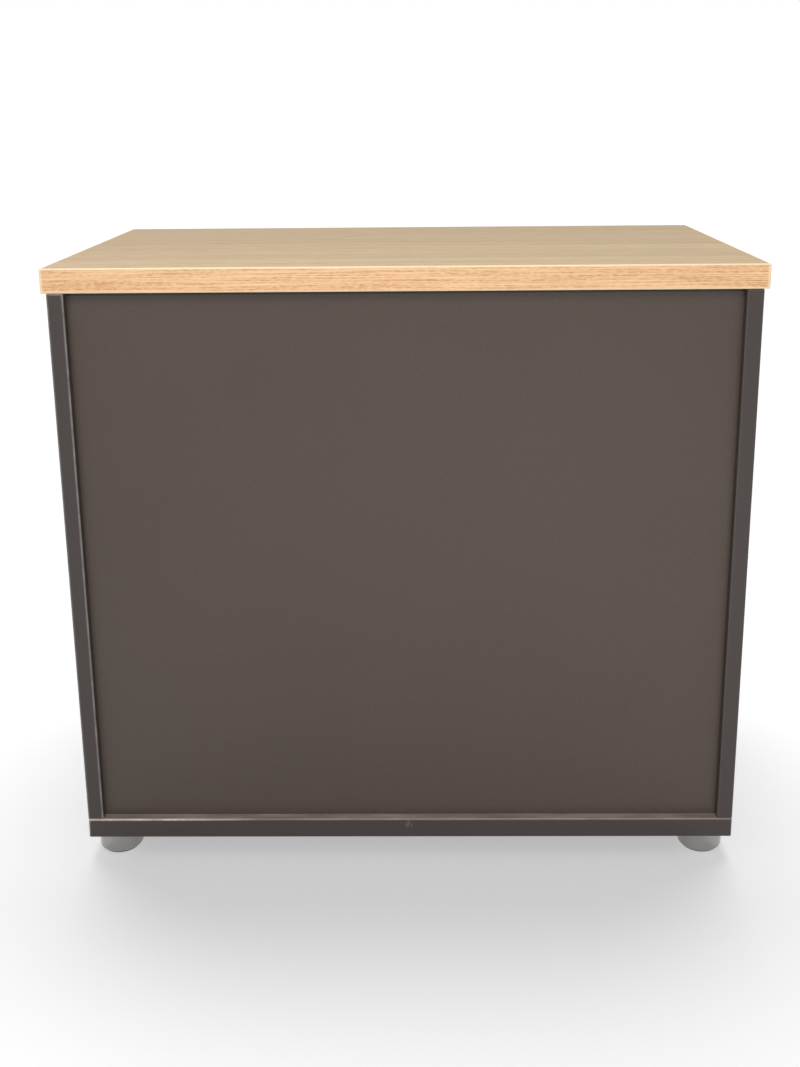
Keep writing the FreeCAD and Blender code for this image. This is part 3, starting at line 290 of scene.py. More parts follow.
class SideboardDetails(bpy.types.PropertyGroup):
    """Sizes of the small things that are modelled here"""

    cross_width: share("Cross width", "Width of a screw's cross, as a share of its head's radius", 0.26)
    cross_reach: share("Cross reach", "Reach of a screw's cross, as a share of its head's radius", 0.6)
    cross_depth: share("Cross depth", "Depth of a screw's cross, as a share of its head's height", 0.6)
    head_round: share("Head rounding", "Rounding of a screw head, as a share of its height", 0.45)
    round_faces: IntProperty(name="Round faces", description="Faces round a screw or lock",
                             default=48, min=12)
    thread_pitch: length("Thread pitch", "Rise of a foot spindle's thread per turn", 0.0015)
    thread_depth: length("Thread depth", "Depth of a foot spindle's thread", 0.0009)
    thread_steps: IntProperty(name="Thread steps", description="Faces per turn of the thread",
                              default=24, min=8)
    # Reach of the worn edges with their painted highlight.
    arris_width: length("Arris width", "How far in from a board's edges the rubbing goes", 0.0026)
    # Where the bottom panel's painted edge highlight and worn look grow to their most.
    worn_highlight_start: length("Rub start", "How far right of the middle the bottom panel is rubbed more", 0.19)
    worn_highlight_full: length("Rub full", "How far right of the middle the bottom panel is rubbed most", 0.29)
    scuff_radius: length("Scuff radius", "Reach of the small scuff on the bottom panel", 0.007)
    scuff_drop: length("Scuff drop", "How far below the bottom panel's upper face the scuff is", 0.006)
    # Reach of the painted shadow in the joint below the top.
    joint_shadow_start: length("Seam start", "How far below the top the back panel's joint begins", 0.0048)
    joint_shadow_full: length("Seam full", "How far below the top the back panel's joint is darkest", 0.0034)
    # The planks' tones also carry painted shade, darkest towards the doors.
    plank_width: length("Plank width", "Width of the planks in the top's decor", 0.125)
    # Reach of the painted highlight on the bands' edges.
    band_highlight_reach: length("Band arris", "How far in from a band's edges it is paler", 0.0022)
    adjuster_radius: length("Adjuster radius", "Head radius of a hinge arm's setting screws", 0.0034)
    adjuster_height: length("Adjuster height", "How far a setting screw stands out", 0.0009)
    ear_width: length("Ear width", "Width of the ears that hold a hinge cup on its door", 0.013)
    ear_reach: length("Ear reach", "Reach of an ear from the cup's centre", 0.031)
    ear_thickness: length("Ear thickness", "Thickness of an ear", 0.0012)
    ear_screw_radius: length("Ear screw radius", "Head radius of an ear's screw", 0.0035)
    ear_screw_height: length("Ear screw height", "Height of an ear screw's head", 0.0007)
    guide_screw_radius: length("Guide screw radius", "Head radius of the slide bolt's screws", 0.0021)
    guide_screw_height: length("Guide screw height", "Head height of the slide bolt's screws", 0.0009)


class SideboardStage(bpy.types.PropertyGroup):
    """Camera, floor and lights"""

    camera_place: position("Camera place", "Where the camera stands", -0.0228, 1.5676, 0.9106)
    camera_heading: angle("Heading", "Turn of the camera about the vertical", 180.741)
    camera_tilt: angle("Tilt", "Turn of the camera up from straight down", 76.164)
    camera_roll: angle("Roll", "Turn of the camera about its view", -0.51)
    focal_pixels: FloatProperty(name="Focal length", description="Focal length in photo pixels",
                                default=1202.9)
    centre_pixel: FloatVectorProperty(name="View centre", subtype="XYZ", size=2,
                                      description="Photo pixel on the camera's axis",
                                      default=(410.0, 403.6))
    floor_half: length("Floor", "Half the side of the floor", 40)
    floor_glow: share("Floor glow", "How light the floor's deepest shadow stays", 0.44)
    floor_answer: share("Floor answer", "How much of its light the floor shows", 0.78)
    floor_bounce: colour("Floor bounce", "Floor colour that lights the object", 205, 200, 192)
    sky: colour("Sky", "Colour of the light from all round", 248, 250, 255)
    sky_strength: share("Sky strength", "Light from all round", 0.3)
    key_strength: share("Key", "Each of two lamps above, a little towards the doors", 0.68, 10)
    key_left_way: direction("Key left way", "Where the left lamp above shines", -0.15, 0.32, -1)
    key_right_way: direction("Key right way", "Where the right lamp above shines", 0.18, 0.32, -1)
    key_softness: angle("Key softness", "How wide each lamp above looks", 22)
    front_strength: share("Front", "Low lamp before the doors", 1.1, 10)
    front_way: direction("Front way", "Where the low lamp shines", -0.3, 1, -0.25)
    front_softness: angle("Front softness", "How wide the low lamp looks", 80)
    back_power: power("Back", "Power of the high lamp on the camera's side", 22)
    back_size: FloatVectorProperty(name="Back size", description="Width and height of the high lamp",
                                   size=2, unit="LENGTH", default=(1.0, 0.7))
    back_place: position("Back place", "Where the high lamp hangs", 0.3, 1.5, 1.95)
    fill_power: power("Fill", "Power of the wide low lamp on the camera's side", 5)
    fill_size: FloatVectorProperty(name="Fill size", description="Width and height of the low lamp",
                                   size=2, unit="LENGTH", default=(0.9, 0.3))
    fill_place: position("Fill place", "Where the low lamp stands", -0.25, 1.2, 0.2)


def finishes():
    return bpy.context.scene.sideboard_finishes


def details():
    return bpy.context.scene.sideboard_details


def opaque(rgb):
    return (*rgb, 1)


def shaded(tint, amount):
    """A colour times an amount, as a surface can still have it"""
    return tuple(min(1, amount * level) for level in tint)


class Shader:
    """A new material and the few ways in which its nodes are added and joined"""

    def __init__(self, name):
        self.material = bpy.data.materials.new(name)
        self.material.use_nodes = True
        self.tree = self.material.node_tree
        self.surface = self.tree.nodes["Principled BSDF"]

    def add(self, kind, inputs=None, **settings):
        node = self.tree.nodes.new(kind)
        for name, setting in settings.items():
            setattr(node, name, setting)
        for socket, value in (inputs or {}).items():
            self.set(node.inputs[socket], value)
        return node

    def set(self, socket, value):
        if isinstance(value, bpy.types.NodeSocket):
            self.tree.links.new(value, socket)
        else:
            socket.default_value = value

    def shine(self, **inputs):
        for name, value in inputs.items():
            self.set(self.surface.inputs[name.replace("_", " ").title()], value)

    def where(self):
        """The point on the piece"""
        return self.add("ShaderNodeTexCoord").outputs["Object"]

    def axes(self):
        """X, Y and Z of the point on the piece"""
        return self.add("ShaderNodeSeparateXYZ", {0: self.where()}).outputs

    def noise(self, pattern):
        """A pattern's noise, before its limits"""
        cells = self.add("ShaderNodeMapping", {"Vector": self.where(),
                                               "Scale": [1 / side for side in pattern.size]})
        return self.add("ShaderNodeTexNoise", {
            "Vector": cells.outputs["Vector"], "Scale": 1, "Detail": pattern.detail,
            "Roughness": pattern.roughness}).outputs["Fac"]

    def spread(self, value, low, high, to_low=0, to_high=1):
        return self.add("ShaderNodeMapRange", {"Value": value, "From Min": low, "From Max": high,
                                               "To Min": to_low, "To Max": to_high}).outputs["Result"]

    def marks(self, pattern, least=0, most=1):
        """A pattern's noise, from the least at its low limit to the most at its high one"""
        return self.spread(self.noise(pattern), pattern.low, pattern.high, least, most)

    def math(self, operation, first, second):
        return self.add("ShaderNodeMath", {0: first, 1: second}, operation=operation).outputs[0]

    def vector(self, operation, first, second=(0, 0, 0)):
        return self.add("ShaderNodeVectorMath", {0: first, 1: second}, operation=operation).outputs[0]

    def blend(self, first, second, amount):
        """Mix two numbers"""
        return self.add("ShaderNodeMix", {0: amount, 2: first, 3: second}).outputs[0]

    def mix(self, first, second, amount):
        """Mix two colours"""
        node = self.add("ShaderNodeMix", data_type="RGBA")
        self.set(node.inputs["Factor"], amount)
        for socket, value in (("A", first), ("B", second)):
            index = next(i for i, s in enumerate(node.inputs) if s.name == socket and s.type == "RGBA")
            self.set(node.inputs[index], value)
        return next(s for s in node.outputs if s.type == "RGBA")

    def bump(self, height, depth):
        node = self.add("ShaderNodeBump", {"Height": height, "Distance": depth, "Strength": 1})
        self.shine(normal=node.outputs["Normal"])


def along_grain(axis, run, width):
    """The size of a streak that runs along one axis"""
    return [run if index == axis else width for index in range(3)]


def turned(pattern, axis):
    """A pattern that runs along X, turned to run along this axis"""
    run, width, _ = pattern.size
    return pattern._replace(size=along_grain(axis, run, width))


def edge_nearness(shader, node, reach, stretch=(1, 1, 1)):
    """1 on the edges of a node's box, falling to 0 at this distance in from them on each face"""
    low, high = corners(node)
    offset = shader.vector("ABSOLUTE", shader.vector("SUBTRACT", shader.where(), (low + high) / 2))
    depth = shader.vector("SUBTRACT", (high - low) / 2, offset)
    scaled = shader.vector("MULTIPLY", depth, [1 / part for part in stretch])
    sides = shader.add("ShaderNodeSeparateXYZ", {0: scaled}).outputs
    less = shader.math("MINIMUM", sides[0], sides[1])
    more = shader.math("MAXIMUM", sides[0], sides[1])
    middle = shader.math("MAXIMUM", less, shader.math("MINIMUM", more, sides[2]))
    return shader.spread(middle, reach * ARRIS_CORE_SHARE, reach, 1, 0)


def plank_tone_and_shade(shader):
    """The tone of each plank in the top's decor, with painted shade that darkens the planks towards the
    doors; the planks run along X
    """
    front = corners("top_panel")[0].y
    across = shader.spread(shader.axes()["Y"], front,
                           front + len(PLANK_TONE_AND_SHADE_STEPS) * details().plank_width)
    ramp = shader.add("ShaderNodeValToRGB", {"Fac": across})
    ramp.color_ramp.interpolation = "CONSTANT"
    stops = ramp.color_ramp.elements
    stops.remove(stops[1])
    for number, tone in enumerate(PLANK_TONE_AND_SHADE_STEPS):
        stop = stops.new(number / len(PLANK_TONE_AND_SHADE_STEPS)) if number else stops[0]
        stop.color = (tone, tone, tone, 1)
    return ramp.outputs["Color"]


def oak_finish(name, ground, streak, axis, grain, edges_of=None):
    """Oak decor: slow tones, growth lines and short pores along one axis, and planks with painted shade or
    edges with a painted highlight
    """
    look = finishes()
    oak = Shader(name)
    clouds = oak.marks(turned(OAK_CLOUDS, axis), most=look.band_clouds if edges_of else look.top_clouds)
    straight, broken = (turned(pattern, axis) for pattern in grain)
    lines = oak.math("MULTIPLY", oak.marks(straight), oak.marks(broken, OAK_LINE_LEAST))
    pores = oak.marks(turned(OAK_PORES, axis), most=look.band_pores if edges_of else look.top_pores)
    grained = oak.mix(opaque(ground), opaque(streak), lines)
    toned = oak.mix(grained, opaque(streak), clouds)
    if not edges_of:
        # Plank tones with painted shade, darker towards the doors.
        toned = oak.mix(toned, opaque(streak), plank_tone_and_shade(oak))
    porous = oak.mix(toned, opaque(look.oak_pore), pores)
    if edges_of:
        # Painted highlight on the bands' rounded edges, reaching further in at their ends.
        stretch = along_grain(axis, BAND_END_HIGHLIGHT_STRETCH, 1)
        near = edge_nearness(oak, edges_of, details().band_highlight_reach, stretch)
        porous = oak.mix(porous, opaque(look.oak_edge_highlight), oak.math("MULTIPLY", near, look.band_highlight_strength))
    oak.shine(base_color=porous,
              roughness=oak.spread(lines, 0, 1, *(look.oak_gloss + step for step in OAK_SPREAD)))
    oak.surface.inputs["Specular IOR Level"].default_value = look.oak_shine
    oak.bump(pores, -PORE_DEPTH)
    return oak.material


def ledge_dust_and_light(shader):
    """1 on the ledge that the bottom panel leaves below the back panel, with a soft patchy end: a pale
    dusting that also stands in for painted light on the ledge
    """
    ledge_start = corners("back_panel")[1].y
    ledge_top = corners("bottom_panel")[1].z
    place = shader.axes()
    behind = shader.spread(place["Y"], ledge_start - DUST_AND_LIGHT_START, ledge_start)
    above = shader.spread(place["Z"], ledge_top - DUST_AND_LIGHT_DEEPEST, ledge_top - DUST_AND_LIGHT_FULL)
    patchy = shader.marks(DUST_AND_LIGHT_PATCHES, *DUST_AND_LIGHT_AMOUNTS)
    return shader.math("MULTIPLY", shader.math("MULTIPLY", behind, above), patchy)


def scuff(shader):
    """1 in the short scratches of a small scuff on the bottom panel's rear edge"""
    sizes = details()
    upper = corners("bottom_panel")[1]
    centre = (0, upper.y, upper.z - sizes.scuff_drop)
    gap = shader.add("ShaderNodeVectorMath", {0: shader.where(), 1: centre}, operation="DISTANCE")
    near = shader.spread(gap.outputs["Value"], SCUFF_CORE_SHARE * sizes.scuff_radius,
                         sizes.scuff_radius, 1, 0)
    return shader.math("MULTIPLY", near, shader.marks(SCUFF_SCRATCHES, most=finishes().scuff_strength))


def painted_joint_shadow(shader):
    """1 in the painted shadow of the narrow joint between the back panel and the top's underside"""
    sizes = details()
    underside = corners("top_panel")[0].z
    return shader.spread(shader.axes()["Z"], underside - sizes.joint_shadow_start, underside - sizes.joint_shadow_full)


def ledge_worn_highlight_mask(board, node):
    """How far the bottom panel's upper edge is worn and carries a painted highlight: most near its right
    end
    """
    sizes = details()
    low, high = corners(node)
    place = board.axes()
    upward = board.spread(place["Z"], low.z, high.z)
    along = board.spread(place["X"], sizes.worn_highlight_start, sizes.worn_highlight_full, finishes().ledge_worn_highlight_share, 1)
    return board.math("MULTIPLY", upward, along)


def graphite_finish(node, tint, dusty_and_lit=False, joint_shadowed=False, worn_highlight=1):
    """Satin melamine: faint clouds, a fine pearl, gloss that varies a little and worn edges with a painted
    highlight
    """
    look = finishes()
    board = Shader(f"graphite_{node}")
    cloudy = board.mix(opaque(tint), opaque(shaded(tint, BOARD_CLOUD_SHADE)), board.marks(BOARD_CLOUDS))
    surface = board.mix(cloudy, opaque(look.silver), board.marks(BOARD_FLECKS, most=look.board_pearl))
    # Worn edges with a painted highlight, in patches.
    patchy = board.marks(BOARD_WORN_HIGHLIGHT_PATCHES, *(worn_highlight * amount for amount in WORN_HIGHLIGHT_AMOUNTS))
    worn_and_lit = board.math("MULTIPLY", edge_nearness(board, node, details().arris_width), patchy)
    gloss = board.marks(BOARD_GLOSS, *(look.board_gloss + step for step in BOARD_SPREAD))
    arris = look.graphite_worn_edge_highlight
    # Bottom panel: a worn edge with a painted highlight, a pale dusting that also paints light onto the
    # ledge, and the scuff.
    if dusty_and_lit:
        arris = look.ledge_worn_highlight
        worn_and_lit = board.math("MULTIPLY", worn_and_lit, ledge_worn_highlight_mask(board, node))
        # A pale dusting that also paints light onto the ledge.
        surface = board.mix(surface, opaque(look.pale_dust_and_light), ledge_dust_and_light(board))
        surface = board.mix(surface, opaque(look.pale_dust_and_light), scuff(board))
    # Worn edges with a painted highlight.
    surface = board.mix(surface, opaque(arris), worn_and_lit)
    # Back panel: painted shadow in the joint below the top.
    if joint_shadowed:
        surface = board.mix(surface, opaque(look.seam), painted_joint_shadow(board))
    board.shine(base_color=surface, roughness=board.blend(gloss, look.arris_gloss, worn_and_lit))
    board.bump(board.noise(BOARD_TEXTURE), FINE_DEPTH)
    return board.material


def speckled(name, tint, shade, pattern, roughness, spread):
    """A surface whose colour and gloss follow one fine noise, and that noise"""
    shader = Shader(name)
    noise = shader.noise(pattern)
    marks = shader.spread(noise, pattern.low, pattern.high)
    shader.shine(base_color=shader.mix(opaque(tint), opaque(shaded(tint, shade)), marks),
                 roughness=shader.spread(noise, *GLOSS_LIMITS, *(roughness + step for step in spread)))
    return shader, noise


def metal_finish(name, tint, roughness, brush):
    """Metal with fine scratches and a roughness that follows them"""
    metal, scratches = speckled(name, tint, METAL_SHADE, brush, roughness, METAL_SPREAD)
    metal.shine(metallic=1)
    metal.bump(scratches, FINE_DEPTH)
    return metal.material


def silver_finish():
    """Silver lacquer on plastic: small metal flakes under a soft coat"""
    look = finishes()
    lacquer, _ = speckled("silver_lacquer", look.silver, SILVER_SHADE, SILVER_FLAKES,
                          look.silver_gloss, SILVER_SPREAD)
    lacquer.shine(metallic=1, coat_weight=look.silver_coat)
    return lacquer.material


def plastic_finish(name, tint, roughness):
    """Moulded plastic with a fine spark texture"""
    plastic, spark = speckled(name, tint, PLASTIC_SHADE, PLASTIC_SPARK, roughness, PLASTIC_SPREAD)
    plastic.bump(spark, FINE_DEPTH)
    return plastic.material


def beech_finish():
    """Beech with short flecks along the dowels, which stand upright"""
    look = finishes()
    beech, _ = speckled("beech_wood", look.beech, BEECH_SHADE, BEECH_FLECKS, look.beech_gloss, BEECH_SPREAD)
    return beech.material


def dress(material, *names):
    """Give CAD nodes their finish"""
    for name in names:
        slots = NODES[name].data.materials
        slots.clear()
        slots.append(material)


def kept(name, make, *inputs):
    """The finish of this name, made the first time that it is asked for; no slot has its name"""
    return bpy.data.materials.get(name) or make(name, *inputs)


def nickel():
    """Brushed nickel of handles and lock"""
    return kept("brushed_nickel", metal_finish, finishes().nickel, finishes().nickel_gloss, NICKEL_BRUSH)


def zinc():
    """Die-cast zinc of hinges, cams and the slide bolt's guide"""
    return kept("cast_zinc", metal_finish, finishes().zinc, finishes().zinc_gloss, ZINC_GRAIN)


def steel():
    """Plated steel of screws, pins and rods"""
    return kept("plated_steel", metal_finish, finishes().steel, finishes().steel_gloss, STEEL_GRAIN)


def dark_plastic():
    """Dark plastic of glides and caps"""
    return kept("moulded_plastic", plastic_finish, finishes().dark_plastic, finishes().plastic_gloss)


def turned_ring(profile):
    """Spin a closed outline of (radius, height) points about the Z axis"""
    bm = bmesh.new()
    points = [bm.verts.new((radius, 0, height)) for radius, height in profile]
    edges = [bm.edges.new(pair) for pair in zip(points, points[1:] + points[:1])]
    bmesh.ops.spin(bm, geom=points + edges, axis=UP, cent=(0, 0, 0), angle=FULL_TURN,
                   steps=details().round_faces, use_merge=True)
    return bm


def slotted_plug(radius, height, slots, depth, rounding, tail=()):
    """A round plug that stands on Z = 0, with slots cut into its top and a stepped tail below"""
    bm = bmesh.new()
    bmesh.ops.create_circle(bm, cap_ends=True, segments=details().round_faces, radius=radius,
                            matrix=Matrix.Translation((0, 0, height)))
    for half_x, half_y in slots:
        for normal, reach in (((1, 0, 0), half_x), ((0, 1, 0), half_y)):
            for side in (-reach, reach):
                bmesh.ops.bisect_plane(bm, geom=bm.verts[:] + bm.edges[:] + bm.faces[:],
                                       plane_co=[side * part for part in normal], plane_no=normal)
    bm.faces.ensure_lookup_table()
    cut = [face for face in bm.faces if any(
        abs(face.calc_center_median().x) < half_x and abs(face.calc_center_median().y) < half_y
        for half_x, half_y in slots)]
    cut_edges = list(dict.fromkeys(edge for face in cut for edge in face.edges))
    sunk = bmesh.ops.extrude_face_region(bm, geom=cut + cut_edges)["geom"]
    bmesh.ops.translate(bm, vec=(0, 0, -depth),
                        verts=[part for part in sunk if isinstance(part, bmesh.types.BMVert)])
    rim = [edge for edge in bm.edges if edge.is_boundary]
    sharp = rim
    wide = radius
    for step_radius, drop in ((radius, height), *tail):
        grown = bmesh.ops.extrude_edge_only(bm, edges=rim)["geom"]
        ends = [part for part in grown if isinstance(part, bmesh.types.BMVert)]
        bmesh.ops.scale(bm, vec=(step_radius / wide, step_radius / wide, 1), verts=ends)
        bmesh.ops.translate(bm, vec=(0, 0, -drop), verts=ends)
        rim = [edge for edge in bm.edges if edge.is_boundary]
        wide = step_radius
    bmesh.ops.contextual_create(bm, geom=rim)
    bmesh.ops.bevel(bm, geom=sharp, offset=rounding, segments=3, profile=0.5, affect="EDGES", material=-1)
    return bm


def cross_screw(radius, height, shank, depth):
    """A screw whose rounded head has a cross in it, with a plain shank below"""
    sizes = details()
    wide, far = sizes.cross_width * radius, sizes.cross_reach * radius
    return slotted_plug(radius, height, ((wide / 2, far), (far, wide / 2)), sizes.cross_depth * height,
                        sizes.head_round * height, ((shank, 0), (shank, depth)))


def threaded_rod(radius, run):
    """A rod that stands on Z = 0 with a screw thread round it"""
    sizes = details()
    pitch, steps = sizes.thread_pitch, sizes.thread_steps
    core = radius - sizes.thread_depth
    root = core - THREAD_ROOT_SHARE * sizes.thread_depth
    rise, crest, fall = (part * pitch for part in THREAD_SHARES)
    bm = bmesh.new()
    bmesh.ops.create_cone(bm, cap_ends=True, segments=steps, radius1=core, radius2=core, depth=run,
                          matrix=Matrix.Translation((0, 0, run / 2)))
    section = ((root, 0), (radius, rise), (radius, crest), (root, fall))
    points = [bm.verts.new((across, 0, up)) for across, up in section]
    face = bm.faces.new(points)
    turns = int(run / pitch) - 1
    bmesh.ops.spin(bm, geom=points + face.edges[:] + [face], axis=UP, cent=(0, 0, 0),
                   dvec=(0, 0, pitch / steps), angle=FULL_TURN * turns, steps=steps * turns)
    return bm


def stand(bm, shape, place, up):
    """Add a shape to a bmesh, with its foot at a place and its Z axis along a direction"""
    turn = Vector(UP).rotation_difference(Vector(up)).to_matrix().to_4x4()
    shape.transform(Matrix.Translation(place) @ turn)
    mesh = bpy.data.meshes.new("shape")
    shape.to_mesh(mesh)
    shape.free()
    bm.from_mesh(mesh)
    bpy.data.meshes.remove(mesh)


def new_object(name, data):
    """A new object in the scene"""
    holder = bpy.data.objects.new(name, data)
    bpy.context.scene.collection.objects.link(holder)
    return holder


def finished_piece(name, bm, material, body):
    """Turn a bmesh, already in place, into a piece that rides on a body"""
    bmesh.ops.recalc_face_normals(bm, faces=bm.faces)
    mesh = bpy.data.meshes.new(name)
    bm.to_mesh(mesh)
    bm.free()
    mesh.shade_smooth()
    mesh.set_sharp_from_angle(angle=SHARP_EDGE)
    mesh.materials.append(material)
    piece = new_object(name, mesh)
    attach(piece, body)
    return piece


class SIDEBOARD_OT_top(bpy.types.Operator):
    """Finish the oak-decor top and its edge bands"""

    bl_idname = "sideboard.top"
    bl_label = "Top"

    def execute(self, context):
        look = finishes()
        dress(oak_finish("oak_decor", look.oak_top, look.oak_top_streak, ALONG_X, TOP_GRAIN), "top_panel")
        for band, axis in (("top_band_front", ALONG_X), ("top_band_back", ALONG_X),
                           ("top_band_left", ALONG_Y), ("top_band_right", ALONG_Y)):
            dress(oak_finish(f"oak_{band}", look.oak_band, look.oak_band_streak, axis, BAND_GRAIN, band),
                  band)
        return {"FINISHED"}


class SIDEBOARD_OT_carcass(bpy.types.Operator):
    """Finish the graphite boards of the carcass and the shelf"""

    bl_idname = "sideboard.carcass"
    bl_label = "Carcass"

    def execute(self, context):
        for board in ("side_panel_right", "shelf"):
            dress(graphite_finish(board, finishes().graphite), board)
        # The left side panel gets only a faint painted edge highlight.
        dress(graphite_finish("side_panel_left", finishes().graphite, worn_highlight=finishes().left_worn_highlight),
              "side_panel_left")
        # The bottom panel gets the painted edge highlight and the pale dusting with painted light on its
        # ledge.
        dress(graphite_finish("bottom_panel", finishes().graphite, dusty_and_lit=True), "bottom_panel")
        # The back panel gets a painted shadow in the joint below the top.
        dress(graphite_finish("back_panel", finishes().graphite_back, joint_shadowed=True), "back_panel")
        return {"FINISHED"}


class SIDEBOARD_OT_doors(bpy.types.Operator):
    """Finish the doors and the soft buffers that they close on"""

    bl_idname = "sideboard.doors"
    bl_label = "Doors"

    def execute(self, context):
        for door in ("door_left", "door_right"):
            dress(graphite_finish(door, finishes().graphite), door)
        dress(plastic_finish("pale_rubber", finishes().pad, finishes().pad_gloss), "door_buffers")
        return {"FINISHED"}


class SIDEBOARD_OT_handles(bpy.types.Operator):
    """Finish the bow handles and their screws"""

    bl_idname = "sideboard.handles"
    bl_label = "Handles"

    def execute(self, context):
        dress(nickel(), "handle_left", "handle_right")
        seat = corners("door_left")[1].y
        for hand in HANDS:
            low, high = corners(f"handle_screws_{hand}")
            radius = (high.x - low.x) / 2
            bm = bmesh.new()
            for height in (low.z + radius, high.z - radius):
                screw = cross_screw(radius, high.y - seat, HANDLE_SHANK_SHARE * radius, seat - low.y)
                stand(bm, screw, (low.x + radius, seat, height), REARWARD)
            screws = finished_piece(f"handle_bolts_{hand}", bm, steel(), f"door_{hand}")
            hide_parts(f"handle_screws_{hand}")
        return {"FINISHED"}


def hinge_plate_screws():
    """The screws that hold the hinge plates on the side panels"""
    low, high = corners("hinge_screws")
    depth = (low.y + high.y) / 2
    radius = (high.y - low.y) / 2
    seat = corners("hinge_arm_right_upper")[0].x + HINGE_ARM_THICKNESS
    bm = bmesh.new()
    for side in (-1, 1):
        for level in LEVELS:
            arm_low, arm_high = corners(f"hinge_arm_right_{level}")
            for offset in (-1, 1):
                height = (arm_low.z + arm_high.z) / 2 + offset * PLATE_SCREW_SPACING / 2
                screw = cross_screw(radius, PLATE_SCREW_HEAD, PLATE_SCREW_SHANK, high.x - seat)
                stand(bm, screw, (side * seat, depth, height), (-side, 0, 0))
    screws = finished_piece("hinge_plate_screws", bm, steel(), "carcass")
    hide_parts("hinge_screws")


def hinge_arm_adjusters():
    """The setting screws on the inner face of each hinge arm"""
    radius, height = details().adjuster_radius, details().adjuster_height
    bm = bmesh.new()
    for hand, inward in (("left", 1), ("right", -1)):
        for level in LEVELS:
            low, high = corners(f"hinge_arm_{hand}_{level}")
            face = high.x if inward > 0 else low.x
            for along in ADJUSTER_SHARES:
                place = (face, low.y + along * (high.y - low.y), (low.z + high.z) / 2)
                stand(bm, cross_screw(radius, height, SHANK_SHARE * radius, height), place, (inward, 0, 0))
    finished_piece("hinge_arm_adjusters", bm, steel(), "carcass")


def ear_plate(start):
    """A thin ear on Z = 0 that runs along Y from its start, with a round far end"""
    sizes = details()
    width, thickness = sizes.ear_width, sizes.ear_thickness
    run = sizes.ear_reach - start
    middle = Vector((0, start + run / 2, thickness / 2))
    bm = bmesh.new()
    bmesh.ops.create_cube(bm, size=1, matrix=Matrix.Translation(middle)
                          @ Matrix.Diagonal((width, run, thickness, 1)))
    upright = [edge for edge in bm.edges if all(vert.co.y > middle.y for vert in edge.verts)
               and abs(edge.verts[0].co.z - edge.verts[1].co.z) > middle.z]
    bmesh.ops.bevel(bm, geom=upright, offset=EAR_ROUND_SHARE * width, segments=8, profile=0.5,
                    affect="EDGES", material=-1)
    top = [edge for edge in bm.edges if all(vert.co.z > middle.z for vert in edge.verts)]
    bmesh.ops.bevel(bm, geom=top, offset=EAR_EDGE_SHARE * thickness, segments=2, profile=0.5,
                    affect="EDGES", material=-1)
    return bm


def hinge_ears(hand):
    """The ears that screw each hinge cup to its door"""
    sizes = details()
    hold = sizes.ear_reach - sizes.ear_width / 2
    head = sizes.ear_screw_radius
    grip = EAR_GRIP_RATIO * sizes.ear_thickness
    ears, screws = bmesh.new(), bmesh.new()
    for level in LEVELS:
        low, high = corners(f"hinge_cup_{hand}_{level}")
        radius = (high.z - low.z) / 2
        across = high.x - radius if hand == "left" else low.x + radius
        centre = Vector((across, high.y, (low.z + high.z) / 2))
        for way in (-1, 1):
            plate = ear_plate(EAR_START_SHARE * radius)
            plate.transform(Matrix.Rotation(0 if way < 0 else math.pi, 4, "Z"))
            stand(ears, plate, centre, REARWARD)
            place = centre + Vector((0, sizes.ear_thickness, way * hold))
            screw = cross_screw(head, sizes.ear_screw_height, SHANK_SHARE * head, grip)
            stand(screws, screw, place, REARWARD)
    finished_piece(f"hinge_ears_{hand}", ears, zinc(), f"door_{hand}")
    finished_piece(f"hinge_ear_screws_{hand}", screws, steel(), f"door_{hand}")


class SIDEBOARD_OT_hinges(bpy.types.Operator):
    """Finish the cup hinges and add their ears, plate screws and setting screws"""

    bl_idname = "sideboard.hinges"
    bl_label = "Hinges"

    def execute(self, context):
        for hand in HANDS:
            for level in LEVELS:
                dress(zinc(), f"hinge_arm_{hand}_{level}", f"hinge_cup_{hand}_{level}")
            hinge_ears(hand)
        dress(zinc(), "hinge_plates")
        dress(steel(), "hinge_pins")
        hinge_plate_screws()
        hinge_arm_adjusters()
        return {"FINISHED"}


class SIDEBOARD_OT_lock(bpy.types.Operator):
    """Finish the cylinder lock and its cam"""

    bl_idname = "sideboard.lock"
    bl_label = "Lock"

    def execute(self, context):
        low, high = corners("lock_housing")
        plug_low, plug_high = corners("lock_plug")
        face = corners("door_right")[0].y
        seat = ((low.x + high.x) / 2, face, (low.z + high.z) / 2)
        collar, rise, back = (high.x - low.x) / 2, face - low.y, face - high.y
        plug = (plug_high.x - plug_low.x) / 2
        bore = plug + LOCK_SEAM
        rim = [(wide * collar, tall * rise) for wide, tall in COLLAR_SHARES]
        bm = bmesh.new()
        stand(bm, turned_ring([(bore, back), (LOCK_BARREL, back), (LOCK_BARREL, 0), (collar, 0), *rim,
                               (bore, LOCK_BORE_SHARE * rise)]), seat, FORWARD)
        ring = finished_piece("lock_collar", bm, nickel(), "door_right")
        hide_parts("lock_housing")
        keyway = (LOCK_KEY_WIDTH / 2, LOCK_KEY_LENGTH / 2)
        neck = plug_high.y - face - LOCK_CAM_THICKNESS
        tail = ((plug, neck), (LOCK_NECK, 0), (LOCK_NECK, LOCK_CAM_THICKNESS))
        bm = bmesh.new()
        stand(bm, slotted_plug(plug, LOCK_FACE_SHARE * rise, (keyway,), LOCK_KEY_DEPTH,
                               LOCK_ROUND_SHARE * rise, tail), seat, FORWARD)
        core = finished_piece("lock_core", bm, nickel(), "lock_plug")
        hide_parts("lock_plug")
        dress(steel(), "lock_cam")
        return {"FINISHED"}


